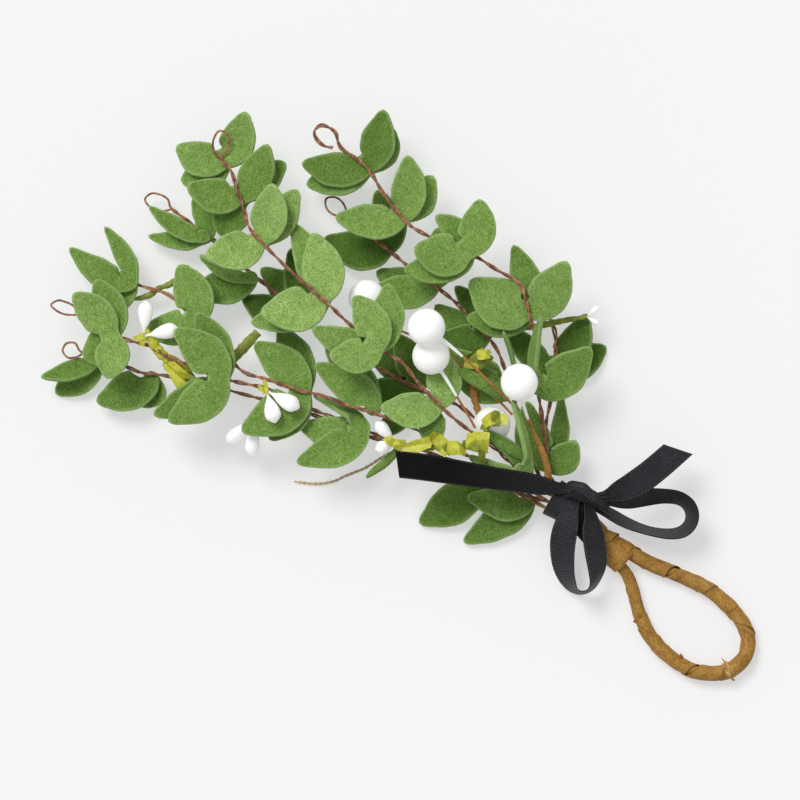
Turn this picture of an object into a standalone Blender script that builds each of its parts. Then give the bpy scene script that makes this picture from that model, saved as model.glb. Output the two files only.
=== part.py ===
"""A made mistletoe bunch: felt leaves on wire sprigs, foam berries and buds on picks,
a paper-wrapped handle with a hanging loop, and a ribbon tied round the stems.

The bunch lies on its side on a surface. +X runs from the leaf tips to the hanging loop,
+Y across the bunch and +Z up from the surface. All numbers below are millimetres.
"""
import math

import bmesh
import bpy
from mathutils import Vector

MM = 0.001
UP = Vector((0.0, 0.0, 1.0))

# Felt leaves, cut in pairs that share a waist under the wire
FELT_THICKNESS = 2.5
LEAF_HALF_WIDTH = 9.0
WAIST_HALF_LENGTH = 4.2
WAIST_HALF_WIDTH = 1.6
PAIR_SPACING = 0.9
TIP_HALF_WIDTH = 0.8
LEAF_STATIONS = (0.18, 0.36, 0.54, 0.72, 0.88, 1.0)
LEAF_OUTLINE = (0.76, 0.97, 1.0, 0.85, 0.5)
LEAF_ROOT_REACH = 8.0
LEAF_ARCH = 0.6

# Wire sprigs and their end loops
WIRE_RADIUS = 1.05
WIRE_STEP = 4.6
TOUCH_GAP = 0.3
LOOP_POINTS = 9
LOOP_START_ANGLE = math.radians(34)

# Foam berries and buds on picks
BERRY_RADIUS = 9.3
PICK_RADIUS = 0.85
PICK_SIDES = 8
BUD_RADIUS = 4.3
BUD_NECK_RADIUS = 0.7

# Wrapped handle
HANDLE_RADIUS = 4.1
HANDLE_SIDES = 10
COLLAR_WALL = 1.1

# Twine
TWINE_RADIUS = 0.8

# Each sprig: the far end of its wire loop, the loop's width, and the wire's route from
# the loop to the tied bundle
SPRIGS = {
    "a": ((-195, -63.5, 15), 6, [
        (-181, -61, 18), (-168, -62, 20), (-155, -61, 22), (-142, -57.5, 24.5),
        (-130, -57.5, 26.5), (-118, -55.5, 28), (-103, -53.5, 28), (-91, -50, 26.5),
        (-78, -46, 22.5), (-62, -45, 20), (-47, -43, 20.5), (-30, -40.5, 21),
        (-12, -37.5, 21), (5, -34, 20.5), (25, -30.5, 18.5), (45, -29.5, 16),
        (60, -28.7, 14), (75.5, -28.5, 13)]),
    "b": ((-181, 6, 8), 8, [
        (-167.5, 8, 9), (-158, 6.5, 9.5), (-148, 5.5, 10), (-138, 4, 11),
        (-125, 1, 12), (-109, -1.5, 13), (-98, -3.5, 14), (-85, -6, 15),
        (-72, -9, 15), (-55, -10.5, 15), (-35, -9.5, 15), (-20, -9, 14.5),
        (-8, -8, 13), (8, -6, 11), (25, -9, 9), (40, -14, 8.7), (55, -19, 9),
        (75.5, -22, 9.5)]),
    "c": ((-163, 54, 33), 8, [
        (-158, 41.5, 27), (-150, 39, 29), (-142, 32, 31), (-134, 25, 33),
        (-127, 18.5, 35), (-115, 14.5, 37), (-102, 11, 39), (-88, 8, 40.5),
        (-73, 5, 42), (-58, 1.5, 42.5), (-40, -1.5, 42), (-28, -1.5, 41),
        (-15, -6.5, 39), (5, -12, 35.5), (18, -14, 32), (32, -15, 26.5), (50, -19, 19.5),
        (62, -21, 15), (75.5, -22, 13)]),
    "e": ((-102, 51, 6), 8, [
        (-90, 48.5, 9.5), (-78, 46, 11.5), (-62, 44, 13.5), (-47, 41.5, 15),
        (-33, 40, 16), (-22, 38.5, 17), (-12, 36, 17), (0, 32, 16), (10, 28, 15),
        (20, 20, 13), (32, 9, 11.5), (45, 0, 10.5), (54, -10.5, 9.3), (60, -16, 9),
        (68, -18.8, 9), (75.5, -18.7, 9.5)]),
    "f": ((-124, 78.5, 19), 9, [
        (-110, 76.5, 22), (-100, 75.5, 24), (-90, 73.5, 26), (-82, 69, 28),
        (-73, 64.5, 29), (-60, 60, 31), (-50, 59.5, 32), (-36, 61, 33),
        (-22, 62.5, 34), (-10, 62, 34), (2, 62, 34), (8, 58, 33), (17, 49, 31),
        (23, 43, 29), (31, 32, 27), (38, 20.5, 24.5), (48, 8, 20.5), (55, -1, 17.5),
        (61, -9.5, 15.5), (66, -14.5, 14.2), (75.5, -18.7, 13.3)]),
    "j": ((18, 62, 13), 6, [
        (24, 56, 13), (31, 50, 12), (36, 42, 11), (41, 32, 10), (46, 20, 9),
        (51, 5, 7.3), (56, -6, 6.2), (62, -13, 6.6), (69, -15.6, 9.2),
        (75.5, -15.4, 11)]),
    "l": ((-179, -80, 10), 8, [
        (-170, -78, 10), (-158, -74, 10), (-148, -72.5, 10), (-138, -71, 11),
        (-129, -67, 12), (-118, -63, 13), (-105, -59, 14), (-91, -55.5, 15),
        (-78, -52, 15), (-62, -48, 15), (-45, -45, 14.5), (-25, -42, 13.5),
        (-5, -38, 12), (20, -36, 10), (38, -33, 10), (50, -30, 10), (60, -28, 10),
        (75.5, -23.9, 9.6)]),
    "s": ((-187, -36.5, 7), 6, [
        (-176, -36, 8), (-171, -35.5, 9), (-158, -33, 12), (-146, -30.5, 15),
        (-134, -33, 18), (-120, -37, 21), (-106, -42, 25), (-94, -45, 27.5),
        (-82, -42.5, 29.5), (-67, -39.5, 31.5), (-55, -36, 33), (-41, -33.5, 34.5),
        (-28, -30.5, 34), (-12, -27.5, 30), (5, -26.5, 26), (22, -25.5, 22),
        (40, -25, 18), (58, -25, 15), (75.5, -25.3, 13)]),
}

# Each whorl: its sprig, where its waist crosses the wire (x, y), whether the felt lies
# under or over the wire, and its leaf tips as (x, y, rise above the wire, roll in
# degrees, half width if not the usual one). The order of the leaves is front right,
# front left, rear right, rear left, seen from the bundle towards the sprig's end; None
# leaves a place empty.
WHORLS = {
    "a1": ("a", (-159, -61.3), "over",
           ((-187, -54, 8, 0), (-151, -82, 6, 0), (-181, -42, 0, 0),
            (-168, -78, -1, 0))),
    "a2": ("a", (-102, -53.3), "over",
           ((-134, -44, 7, 0, 10), (-114, -85, 2, 0, 10), (-129, -31, 2, 0),
            (-122, -86, -3, 0))),
    "a3": ("a", (-28, -41), "over",
           ((-58, -37.5, 2, 62, 5), (-48.5, -71, 3, 0, 9), None, (-57, -54, 1, 0))),
    "b1": ("b", (-145, 5), "over",
           (None, (-177, 3, 4, 0, 5), (-160, 17, -2, 0, 6), (-170, -10, -4, 0, 5))),
    "b2": ("b", (-114, -1), "over",
           (None, (-142, -6, 12, 55, 4), None, (-138, -24, -4, 0))),
    "b3": ("b", (-84, -6), "under",
           ((-105, 20, -5, 0), (-113.5, -13, -5, 0), (-113, 4, -9, 0), None)),
    "b4": ("b", (-15, -8.4), "under",
           ((-38, 9, -4, 0), (-40, -24, -4, 0), (-48, -3, -8, 0), (-20, -41, -10, 0, 7))),
    "c1": ("c", (-155, 41), "under",
           ((-158, 67.5, 4, 0), (-179.5, 36, -4, 0), None, (-169, 22, -8, 0))),
    "c2": ("c", (-139, 29.5), "under",
           ((-140, 59, 4, 0), (-164.5, 21.5, 2, 0), (-128, 56, -7, 0),
            (-137, 8, -9, 0))),
    "c3": ("c", (-119, 16), "under",
           ((-128, 43, 5, 0, 9.5), (-139, -4, 3, 0, 10), (-116, 47, -6, 0), None)),
    "c4": ("c", (-78, 6), "under",
           ((-98.5, 32, -3, 0, 10.5), (-101, -15, 2, 0, 11), (-110, 31, -14, 0),
            (-103, -22, -12, 0))),
    "c5": ("c", (-43, -1), "over",
           ((-65, 15, 6, 0), (-61, -16, 8, 0), (-53.5, 29, 0, 0),
            (-75, -9, 3, 0, 8))),
    "c6": ("c", (-1, -10.5), "under",
           ((-14, 14, -9, 0), (-26, -26, -1, 0), None, (8, -31, -8, 0, 7))),
    "e1": ("e", (-63, 44), "under",
           ((-82, 67, 2, 0), (-93, 33, -12.2, 0, 10), None, None)),
    "e2": ("e", (-34, 40), "under",
           ((-46, 66, 2, 0), (-61, 20, -4, 0), None, (-62, 32, -11, 0))),
    "e3": ("e", (1, 31.7), "under",
           ((-24, 45, -4, 0, 7), (-18, 21, -6, 0, 8), None, (-28, 32, -11, 0, 8))),
    "e4": ("e", (25, 15.5), "over",
           ((8, 37, 20, 62, 4), (-6, 8, 10, 0), None, (-12, 16, 4, 0))),
    "f1": ("f", (-92, 74), "under",
           ((-99, 103, 2, 0), (-121, 60, -8.5, 0), (-91, 98, -8, 0), (-114, 52, -12, 0))),
    "f2": ("f", (-64, 61), "under",
           ((-77, 89, 3, 0), (-93, 45, -3, 0), (-61, 87, -9, 0), None)),
    "f3": ("f", (-27, 62), "over",
           ((-35, 88, 6, 0, 9.5), (-51, 51, 3, 0, 11), (-50, 70, 0, 0, 7),
            (-50, 39, -5, 0))),
    "f4": ("f", (15, 51.3), "under",
           ((18, 83, 4, 0, 10.5), (-19, 51, -3, 0, 12.5), (-9, 77, -8, 0, 8),
            (-11, 34, -9, 0))),
    "f5": ("f", (37, 22.3), "over",
           ((50, 52, 6, 0, 10.5), (21, 53, 14, 60, 4.5), None, None)),
    "f6": ("f", (61, -9.5), "under",
           ((67, 8, 2, 0, 8), (36, 13, -1, 0), (49, 25, -6, 0, 5), None)),
    "j1": ("j", (40, 34), "under",
           ((40, 66, 2, -15), (8, 42, 0, 0, 7), (57, 57, -8.7, 0), None)),
    "l1": ("l", (-163, -75.5), "under",
           (None, (-181, -98, 3, -20, 5.5), None, (-171, -102, -8.6, 0))),
    "l2": ("l", (-134, -69.5), "under",
           (None, (-151, -95, -2, 0, 10), None, (-129, -86, -7, 0))),
    "r1": ("c", (51, -19), "over",
           ((29.5, 9, 21, 50, 4), (24, -25, 7, 0, 5), (24, -10, 13, 0, 4.2), None)),
    "r2": ("l", (61, -28), "under",
           (None, (34, -43, -2.5, 0), None, (44, -64, -7.5, 0, 9))),
    "r3": ("l", (36, -33.4), "under",
           (None, None, None, (20, -67, -7.5, 0, 10.5))),
    "s1": ("s", (-165, -34.7), "over",
           ((-191, -17, 3, 0, 5), (-201, -35, 2, 0, 7), None, (-180, -58, -3, 0))),
    "s2": ("s", (-127, -34.8), "over",
           ((-149, -15, 0, 0, 10), (-148, -50, -3, 0), None, None)),
    "s3": ("s", (-64, -38.8), "under",
           ((-96.5, -30, -9, 0, 9.5), (-80, -71, -3, 0, 11), (-90, -16, -12, 0),
            (-66, -68, -10, 0))),
    "s4": ("s", (-28, -30.5), "under",
           ((-65, -24, -5, 0, 9.0), None, (-65, -13, -12, 0), None)),
}

# Each berry: its centre, then the pick's route
BERRIES = {
    "1": [(-26, 19.5, 52.7), (-14, 18, 49), (0, 15.3, 44), (16, 11.5, 37), (30, 8, 30)],
    "2": [(-17, 8.5, 40.6), (-5, 2.5, 39), (5, -3, 37), (13, -7.3, 34.5),
          (20, -11.5, 32)],
    "3": [(-59, 17.5, 25), (-48, 14, 25), (-36, 12, 24.5), (-20, 15, 24), (-6, 13, 24),
          (10, 9, 25), (22, 6.5, 25), (33, 3.5, 24)],
    "4": [(27.5, 19, 44), (34.5, 11, 38), (40, 6, 32), (46, 1.5, 26.5), (52, -3, 23.5),
          (57, -6.5, 22), (62, -11.5, 20.5), (67, -18, 17.8), (75.5, -21.5, 17.2)],
    "5": [(26.5, -6, 20.5), (36, -8, 18.5), (44, -8.5, 18)],
}

# Berry 4's pick ends in the paper-wrapped stem that gathers the picks
STEM_START = 1.6
STEM_RADIUS = 2.0
STEM_X = (38, 60)

# Bud pairs: first bud's round end, the joint of the two points, second bud's round end
BUD_PAIRS = {
    "left": ((-154, -38, 28), (-146, -54.5, 28.5), (-132, -42, 29.4)),
    "middle": ((-67, -59.5, 35), (-79, -47.5, 34.5), (-60, -46.5, 38)),
    "right": ((-25, -33.5, 31), (-10.5, -37.5, 29.9), (-18, -46, 28)),
    "low": ((-84.5, -80, 17), (-77, -63, 26.7), (-69.5, -80, 17)),
}

# Torn paper bits: strips through (x, y, z, half width, twist in degrees)
PAPER_BITS = {
    "left": [(-134, -57, 22, 3, 10), (-127, -60, 23.5, 6, -15), (-120, -62.5, 22.5, 8, 15),
             (-113, -65, 23.5, 7, -15), (-107, -65, 22.5, 4, 10)],
    "right": [(-3, -37, 33, 2, 0), (3, -30.5, 34.5, 4, 10), (9, -27, 34, 4, -15),
              (15, -26.5, 33, 4, 15), (20, -22, 35, 5, -10), (23, -15, 36, 6, 10),
              (24, -8, 35, 5, -15), (24, -1, 34, 4, 10)],
}

# The loose end of the twine, from the wire it hangs on down to the surface
TWINE_ROUTE = [(-7, -39.3, 10.4), (-11, -44.5, 5), (-14.5, -51, 1.8), (-17, -56, 0.9),
               (-20, -60, 0.9), (-24, -65, 0.9), (-27.5, -70, 0.9), (-32, -74, 0.9),
               (-37, -77, 0.9), (-43, -79.5, 0.9)]

# Handle: the thick wrapped bundle as (x, y, z, half width, half height), then once round
# the hanging loop, back to the collar
BUNDLE_ROUTE = [(78.4, -22, 12, 7.6, 6.6), (86, -23.6, 10.6, 7.2, 6.2),
                (96, -26, 8.3, 6.6, 5.4), (105, -27.4, 6.4, 5.4, 4.3)]
LOOP_ROUTE = [(112, -26.4, 5.8), (120, -26.4, 5.7), (130, -26.6, 4.2), (140, -25.2, 4.1),
              (150, -23.8, 4.1), (160, -23, 4.1), (170, -24, 4.1), (180, -26.6, 4.1),
              (187, -30, 4.1), (192.5, -35, 4.3), (195, -41, 4.6), (194.3, -48, 4.9),
              (191, -54, 4.9), (185, -59, 4.6), (177, -62, 4.2), (168, -62.8, 4.1),
              (158, -61.3, 4.1), (150, -58.5, 4.1), (142, -54, 4.1), (136, -48.5, 4.1),
              (130, -42.5, 4.3), (124, -37.5, 5.1), (119, -35.2, 5.8), (112.5, -35.2, 5.8)]
LOOP_LOWER_RADIUS = 3.7

# Ribbon strips through (x, y, z), width direction, half width and thickness
RIBBON_STRIPS = {
    "tail_and_far_loop": [
        ((-4.5, -46.5, 36), (-0.5, 0.8, 0.15), 7.5, 0.5),
        ((8, -41, 36.5), (-0.5, 0.85, 0.15), 7.5, 0.5),
        ((25, -34.5, 35.5), (-0.4, 0.8, 0.4), 7.5, 0.5),
        ((42, -28, 33), (-0.35, 0.8, 0.6), 7.5, 0.5),
        ((57, -22, 30), (-0.3, 0.8, 0.6), 7.0, 0.5),
        ((67, -18.8, 26), (-0.2, 0.8, 0.5), 5.5, 0.8),
        ((73.5, -15.5, 25), (-0.1, 0.9, 0.3), 4.2, 3.5),
        ((78, -13.4, 25), (-0.1, 1, 0), 5.0, 7.5),
        ((85, -13.6, 25), (0, 1, 0), 5.2, 8.2),
        ((90, -12.6, 25), (-0.1, 1, 0), 4.4, 6.0),
        ((94.5, -10.5, 24.5), (-0.3, 0.8, 0.4), 4.0, 1.2),
        ((103, -5.2, 22.5), (-0.4, 0.7, 0.6), 6.5, 0.5),
        ((114, 3, 20.5), (-0.4, 0.65, 0.7), 7.5, 0.5),
        ((124, 8.5, 18.5), (-0.1, 0.7, 0.7), 7.5, 0.5),
        ((132, 8.5, 16), (0.35, 0.55, 0.75), 7.5, 0.5),
        ((137, 3.5, 13.5), (0.55, 0.2, 0.8), 7.5, 0.5),
        ((137, -3.5, 11.5), (0.5, -0.25, 0.85), 7.5, 0.5),
        ((131, -9, 10.5), (0.25, -0.4, 0.9), 7.5, 0.5),
        ((120, -13, 10.5), (0, -0.4, 0.92), 7.5, 0.5),
        ((108, -14.8, 12), (0, -0.42, 0.91), 7.5, 0.5),
        ((98, -14.9, 14.3), (0, -0.55, 0.84), 6.0, 0.5),
        ((89, -15, 17.4), (0, -0.8, 0.4), 4.5, 0.5)],
    "near_loop": [
        ((81.5, -16.5, 19.6), (1, -0.2, 0), 3.6, 0.5),
        ((82.3, -23.5, 20.4), (1, 0.05, 0), 5.2, 0.5),
        ((84, -31, 19), (1, 0.15, 0), 6.8, 0.5),
        ((87, -39.5, 15.5), (0.95, 0.3, 0.1), 7.5, 0.5),
        ((92.5, -48.5, 12), (0.8, 0.5, 0.35), 7.5, 0.5),
        ((98.5, -54.5, 10.5), (0.4, 0.55, 0.74), 7.5, 0.5),
        ((106, -57, 10.6), (0.08, 0.3, 0.95), 7.5, 0.5),
        ((111.3, -51.5, 13.2), (-0.15, 0.15, 0.98), 7.5, 0.5),
        ((109.3, -43.1, 16.9), (-0.6, -0.1, 0.78), 7.5, 0.5),
        ((104, -36, 21.5), (-0.7, -0.35, 0.6), 7.5, 0.5),
        ((98, -28.5, 21.5), (-0.75, -0.5, 0.35), 6.5, 0.5),
        ((92.5, -21, 20.8), (-0.8, -0.5, 0.2), 4.2, 0.5)],
    "short_tail": [
        ((93.4, -8.5, 27.9), (-0.7, 0.5, 0.2), 3.5, 0.5),
        ((98, -3, 29.2), (-0.8, 0.5, 0.1), 6.0, 0.5),
        ((103.5, 5, 29.4), (-0.95, 0.35, 0), 7.5, 0.5),
        ((107.5, 14, 28), (-1, 0.2, 0), 7.5, 0.5),
        ((110.5, 22, 25.5), (-1, 0.1, 0), 7.5, 0.5),
        ((113.3, 30, 22), (-1, -0.1, 0), 7.5, 0.5)],
}


def material(name, colour, roughness, metallic=0.0):
    mat = bpy.data.materials.get(name)
    if mat is None:
        mat = bpy.data.materials.new(name)
        mat.use_nodes = True
        shader = mat.node_tree.nodes["Principled BSDF"]
        shader.inputs["Base Color"].default_value = (*colour, 1.0)
        shader.inputs["Roughness"].default_value = roughness
        shader.inputs["Metallic"].default_value = metallic
    return mat


def felt():
    return material("felt", (0.16, 0.3, 0.065), 0.95)


def copper_wire():
    return material("paper_wire", (0.26, 0.095, 0.05), 0.6)


def foam():
    return material("foam", (0.86, 0.86, 0.84), 0.75)


def crepe_paper():
    return material("crepe_paper", (0.48, 0.5, 0.06), 0.8)


def kraft_paper():
    return material("kraft_paper", (0.33, 0.16, 0.04), 0.8)


def ribbon_cloth():
    return material("ribbon_cloth", (0.014, 0.014, 0.016), 0.6)


def twine_fibre():
    return material("twine_fibre", (0.42, 0.28, 0.15), 0.9)


def bridge_rings(bm, rings, cap_start=True, cap_end=True):
    """Joins rings of vertices with quads and closes the ends."""
    count = len(rings[0])
    for first, second in zip(rings, rings[1:]):
        for i in range(count):
            j = (i + 1) % count
            bm.faces.new((first[i], first[j], second[j], second[i]))
    if cap_start:
        bm.faces.new(list(reversed(rings[0])))
    if cap_end:
        bm.faces.new(rings[-1])


def finish_object(name, bm, mat, origin):
    """Turns a bmesh in millimetres into a named object whose origin is at origin."""
    bmesh.ops.translate(bm, verts=bm.verts, vec=-Vector(origin))
    bmesh.ops.scale(bm, verts=bm.verts, vec=(MM, MM, MM))
    bmesh.ops.recalc_face_normals(bm, faces=bm.faces)
    mesh = bpy.data.meshes.new(name)
    bm.to_mesh(mesh)
    bm.free()
    mesh.materials.append(mat)
    mesh.shade_smooth()
    mesh.set_sharp_from_angle(angle=math.radians(40))
    obj = bpy.data.objects.new(name, mesh)
    obj.location = Vector(origin) * MM
    bpy.context.scene.collection.objects.link(obj)
    return obj


def spline(points, samples=12):
    """A dense smooth curve (centripetal-like Catmull-Rom) through the points."""
    pts = [Vector(p) for p in points]
    pts = [2 * pts[0] - pts[1]] + pts + [2 * pts[-1] - pts[-2]]
    curve = []
    for a, b, c, d in zip(pts, pts[1:], pts[2:], pts[3:]):
        for k in range(samples):
            u = k / samples
            curve.append(0.5 * (2 * b + (c - a) * u + (2 * a - 5 * b + 4 * c - d) * u * u
                                + (3 * b - a - 3 * c + d) * u ** 3))
    curve.append(pts[-2].copy())
    return curve


def even_points(curve, step):
    """Points at an even spacing near step along a dense curve, both ends kept."""
    lengths = [0.0]
    for a, b in zip(curve, curve[1:]):
        lengths.append(lengths[-1] + (b - a).length)
    count = max(2, round(lengths[-1] / step))
    result = []
    k = 0
    for i in range(count + 1):
        target = lengths[-1] * i / count
        while k < len(curve) - 2 and lengths[k + 1] < target:
            k += 1
        share = (target - lengths[k]) / max(lengths[k + 1] - lengths[k], 1e-9)
        result.append(curve[k].lerp(curve[k + 1], min(share, 1.0)))
    return result


def tangents(points):
    last = len(points) - 1
    return [(points[min(i + 1, last)] - points[max(i - 1, 0)]).normalized()
            for i in range(last + 1)]


def carried_frames(points):
    """Two axes across the path at each point, carried along it without twisting."""
    dirs = tangents(points)
    side = dirs[0].cross(UP)
    if side.length < 0.1:
        side = dirs[0].cross(Vector((1, 0, 0)))
    frames = []
    for direction in dirs:
        side = (side - direction * side.dot(direction)).normalized()
        frames.append((side, direction.cross(side)))
    return frames


def tube_rings(bm, points, radii, sides):
    rings = []
    for point, radius, (side, up) in zip(points, radii, carried_frames(points)):
        ring = []
        for k in range(sides):
            angle = 2 * math.pi * (k + 0.5) / sides
            offset = side * math.cos(angle) + up * math.sin(angle)
            ring.append(bm.verts.new(point + offset * radius))
        rings.append(ring)
    return rings


def wire_path(sprig):
    """The end loop and the route of a sprig's wire, as evenly spaced points."""
    far, width, route = SPRIGS[sprig]
    start = Vector(route[0])
    middle = (start + Vector(far)) / 2
    along = (Vector(far) - start) / 2
    across = along.cross(UP).normalized() * width / 2
    points = []
    for k in range(LOOP_POINTS):
        angle = math.pi + LOOP_START_ANGLE
        angle += (2 * math.pi - LOOP_START_ANGLE) * k / LOOP_POINTS
        points.append(middle + along * math.cos(angle) + across * math.sin(angle))
    points += [Vector(p) for p in route]
    return even_points(spline(points), WIRE_STEP)


def build_wire(sprig):
    bm = bmesh.new()
    points = wire_path(sprig)
    bridge_rings(bm, tube_rings(bm, points, [WIRE_RADIUS] * len(points), 4))
    finish_object(f"sprig_wire_{sprig}", bm, copper_wire(), SPRIGS[sprig][2][0])


def wire_place(sprig, spot):
    """The wire's centre nearest a spot (x, y) and its direction towards the sprig's
    end."""
    points = spline(SPRIGS[sprig][2])
    nearest = min(range(1, len(points) - 1),
                  key=lambda i: (points[i].xy - Vector(spot)).length)
    direction = (points[nearest - 1] - points[nearest + 1]).normalized()
    return points[nearest], direction


def leaf_rings(bm, root, along, side, up, leaf, tip, hand):
    """The rings of one leaf after its root: four vertices each, from root to tip.

    along is the pair's axis, side points away from it on the leaf's side, and hand is 1
    for a left leaf and -1 for a right one."""
    roll = math.radians(leaf[3])
    widest = leaf[4] if len(leaf) > 4 else LEAF_HALF_WIDTH
    control = (root + side * LEAF_ROOT_REACH).lerp((root + tip) / 2, 0.4)
    control += up * LEAF_ARCH
    control.z = control.z * 0.5 + root.z * 0.5
    flat = Vector((tip.x - root.x, tip.y - root.y, 0)).normalized()
    across = (along * flat.dot(side) - side * flat.dot(along)).normalized()
    rings = []
    widths = [widest * share for share in LEAF_OUTLINE] + [TIP_HALF_WIDTH]
    for s, half_width in zip(LEAF_STATIONS, widths):
        centre = root * (1 - s) ** 2 + control * 2 * s * (1 - s) + tip * s * s
        heading = ((control - root) * (1 - s) + (tip - control) * s).normalized()
        turn = min(1.0, s / 0.4)
        turn = turn * turn * (3 - 2 * turn)
        edge = (across - heading * across.dot(heading)).normalized()
        lift = edge.cross(heading) * hand
        edge = edge * math.cos(roll * turn) + lift * math.sin(roll * turn)
        edge = along.lerp(edge, turn)
        edge = (edge - heading * edge.dot(heading) * turn).normalized()
        normal = edge.cross(heading).normalized() * hand
        half = normal * FELT_THICKNESS / 2
        wide = edge * half_width
        rings.append([bm.verts.new(centre + offset) for offset in
                      (half - wide, half + wide, wide - half, -wide - half)])
    return rings


def pair_axis(wire, along, up, pair):
    """The direction midway between a pair's two leaves, across the wire's up axis."""
    if pair[0] is None or pair[1] is None:
        return along
    total = Vector((0, 0, 0))
    for leaf in pair:
        total += Vector((leaf[0] - wire.x, leaf[1] - wire.y, 0)).normalized()
    axis = total - up * total.dot(up)
    return axis.normalized() * math.copysign(1.0, axis.dot(along))


def build_whorl(name, sprig, spot, place, leaves):
    """Two felt pairs, one above the other, joined where the wire holds their waists."""
    wire, along = wire_place(sprig, spot)
    up = (UP - along * UP.dot(along)).normalized()
    step = FELT_THICKNESS + PAIR_SPACING
    near = WIRE_RADIUS + TOUCH_GAP + FELT_THICKNESS / 2
    if place == "under":
        levels = (-near, -near - step)
    elif leaves[2] is None and leaves[3] is None:
        levels = (near, near)
    else:
        levels = (near + step, near)
    bm = bmesh.new()
    waists = []
    for level, pair in zip(levels, (leaves[:2], leaves[2:])):
        if pair[0] is None and pair[1] is None:
            continue
        centre = wire + up * level
        axis = pair_axis(wire, along, up, pair)
        right = axis.cross(up).normalized()
        waist = []
        for side, leaf, hand in ((right, pair[0], -1), (-right, pair[1], 1)):
            root = centre + side * WAIST_HALF_WIDTH
            half, wide = up * FELT_THICKNESS / 2, axis * WAIST_HALF_LENGTH
            chain = [[bm.verts.new(root + offset) for offset in
                      (half - wide, half + wide, wide - half, -wide - half)]]
            if leaf is not None:
                tip = Vector((leaf[0], leaf[1], wire.z + leaf[2]))
                chain += leaf_rings(bm, root, axis, side, up, leaf, tip, hand)
            bridge_rings(bm, chain, cap_start=False)
            waist.append(chain[0])
        waists.append(waist)
    join_waists(bm, waists)
    finish_object(f"leaf_whorl_{name}", bm, felt(), wire + up * levels[0])


def join_waists(bm, waists):
    """Closes each pair's waist, and the short neck between two pairs."""
    for level, (right, left) in enumerate(waists):
        for i in range(4):
            j = (i + 1) % 4
            is_neck_top = i == 2 and level == 0 and len(waists) == 2
            is_neck_foot = i == 0 and level == 1
            if not is_neck_top and not is_neck_foot:
                bm.faces.new((right[i], right[j], left[j], left[i]))
    if len(waists) == 2:
        (right_a, left_a), (right_b, left_b) = waists
        top = (right_a[3], right_a[2], left_a[2], left_a[3])
        foot = (right_b[0], right_b[1], left_b[1], left_b[0])
        for i in range(4):
            j = (i + 1) % 4
            bm.faces.new((top[i], top[j], foot[j], foot[i]))


def pick_radius(name, x):
    """The pick is thin, and berry 4's thickens into the paper-wrapped stem."""
    share = min(1.0, max(0.0, (x - STEM_X[0]) / (STEM_X[1] - STEM_X[0])))
    if name != "4" or share == 0.0:
        return PICK_RADIUS
    return STEM_START + (STEM_RADIUS - STEM_START) * share


def build_berry(name, route):
    """A foam ball with its pick, as one turned body along the pick."""
    centre = Vector(route[0])
    axis = (Vector(route[1]) - centre).normalized()
    points, radii = [], []
    for k in range(1, 7):
        angle = math.pi * k / 7
        points.append(centre - axis * BERRY_RADIUS * math.cos(angle))
        radii.append(BERRY_RADIUS * math.sin(angle))
    bm = bmesh.new()
    rest = even_points(spline(route), 6.0)
    rest = [p for p in rest if (p - centre).length > BERRY_RADIUS + 0.6]
    points += [centre + axis * (BERRY_RADIUS - 0.3)] + rest
    radii += [PICK_RADIUS * 1.6] + [pick_radius(name, p.x) for p in rest]
    rings = tube_rings(bm, points, radii, PICK_SIDES)
    bridge_rings(bm, rings, cap_start=False)
    pole = bm.verts.new(centre - axis * BERRY_RADIUS)
    for k in range(len(rings[0])):
        bm.faces.new((pole, rings[0][(k + 1) % len(rings[0])], rings[0][k]))
    finish_object(f"berry_{name}", bm, foam(), centre)


def build_buds(name, first, joint, second):
    """Two buds whose points meet, as one body along the line through both."""
    shape = ((0.03, 0.5), (0.18, 0.94), (0.4, 1.0), (0.63, 0.66), (0.84, 0.19))
    start, middle, end = Vector(first), Vector(joint), Vector(second)
    points = [start.lerp(middle, s) for s, _ in shape] + [middle]
    points += [end.lerp(middle, s) for s, _ in reversed(shape)]
    radii = [BUD_RADIUS * r for _, r in shape] + [BUD_NECK_RADIUS]
    radii += [BUD_RADIUS * r for _, r in reversed(shape)]
    bm = bmesh.new()
    bridge_rings(bm, tube_rings(bm, points, radii, 8))
    finish_object(f"bud_pair_{name}", bm, foam(), middle)


def strip_rings(bm, points, widths, edges, thickness):
    """Rings of a flat strip: each lies across the path, along its own edge direction."""
    rings = []
    for point, half, edge, heading in zip(points, widths, edges, tangents(points)):
        edge = (edge - heading * edge.dot(heading)).normalized()
        normal = heading.cross(edge) * thickness / 2
        wide = edge * half
        rings.append([bm.verts.new(point + offset) for offset in
                      (normal - wide, normal + wide, wide - normal, -wide - normal)])
    return rings


def build_paper(name, route):
    points = [Vector(p[:3]) for p in route]
    edges = []
    for heading, row in zip(tangents(points), route):
        side = heading.cross(UP).normalized()
        twist = math.radians(row[4])
        edges.append(side * math.cos(twist) + UP * math.sin(twist))
    bm = bmesh.new()
    bridge_rings(bm, strip_rings(bm, points, [row[3] for row in route], edges, 0.8))
    finish_object(f"torn_paper_{name}", bm, crepe_paper(), points[0])


def build_twine():
    """The loose end of the twine, a tube along its own route."""
    points = even_points(spline(TWINE_ROUTE), 4.0)
    curve = bpy.data.curves.new("twine_end", "CURVE")
    curve.dimensions = "3D"
    curve.bevel_depth = TWINE_RADIUS * MM
    curve.bevel_resolution = 2
    curve.use_fill_caps = True
    path = curve.splines.new("POLY")
    path.points.add(len(points) - 1)
    for knot, point in zip(path.points, points):
        knot.co = (*((point - points[0]) * MM), 1.0)
    curve.materials.append(twine_fibre())
    obj = bpy.data.objects.new("twine_end", curve)
    obj.location = points[0] * MM
    bpy.context.scene.collection.objects.link(obj)


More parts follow.
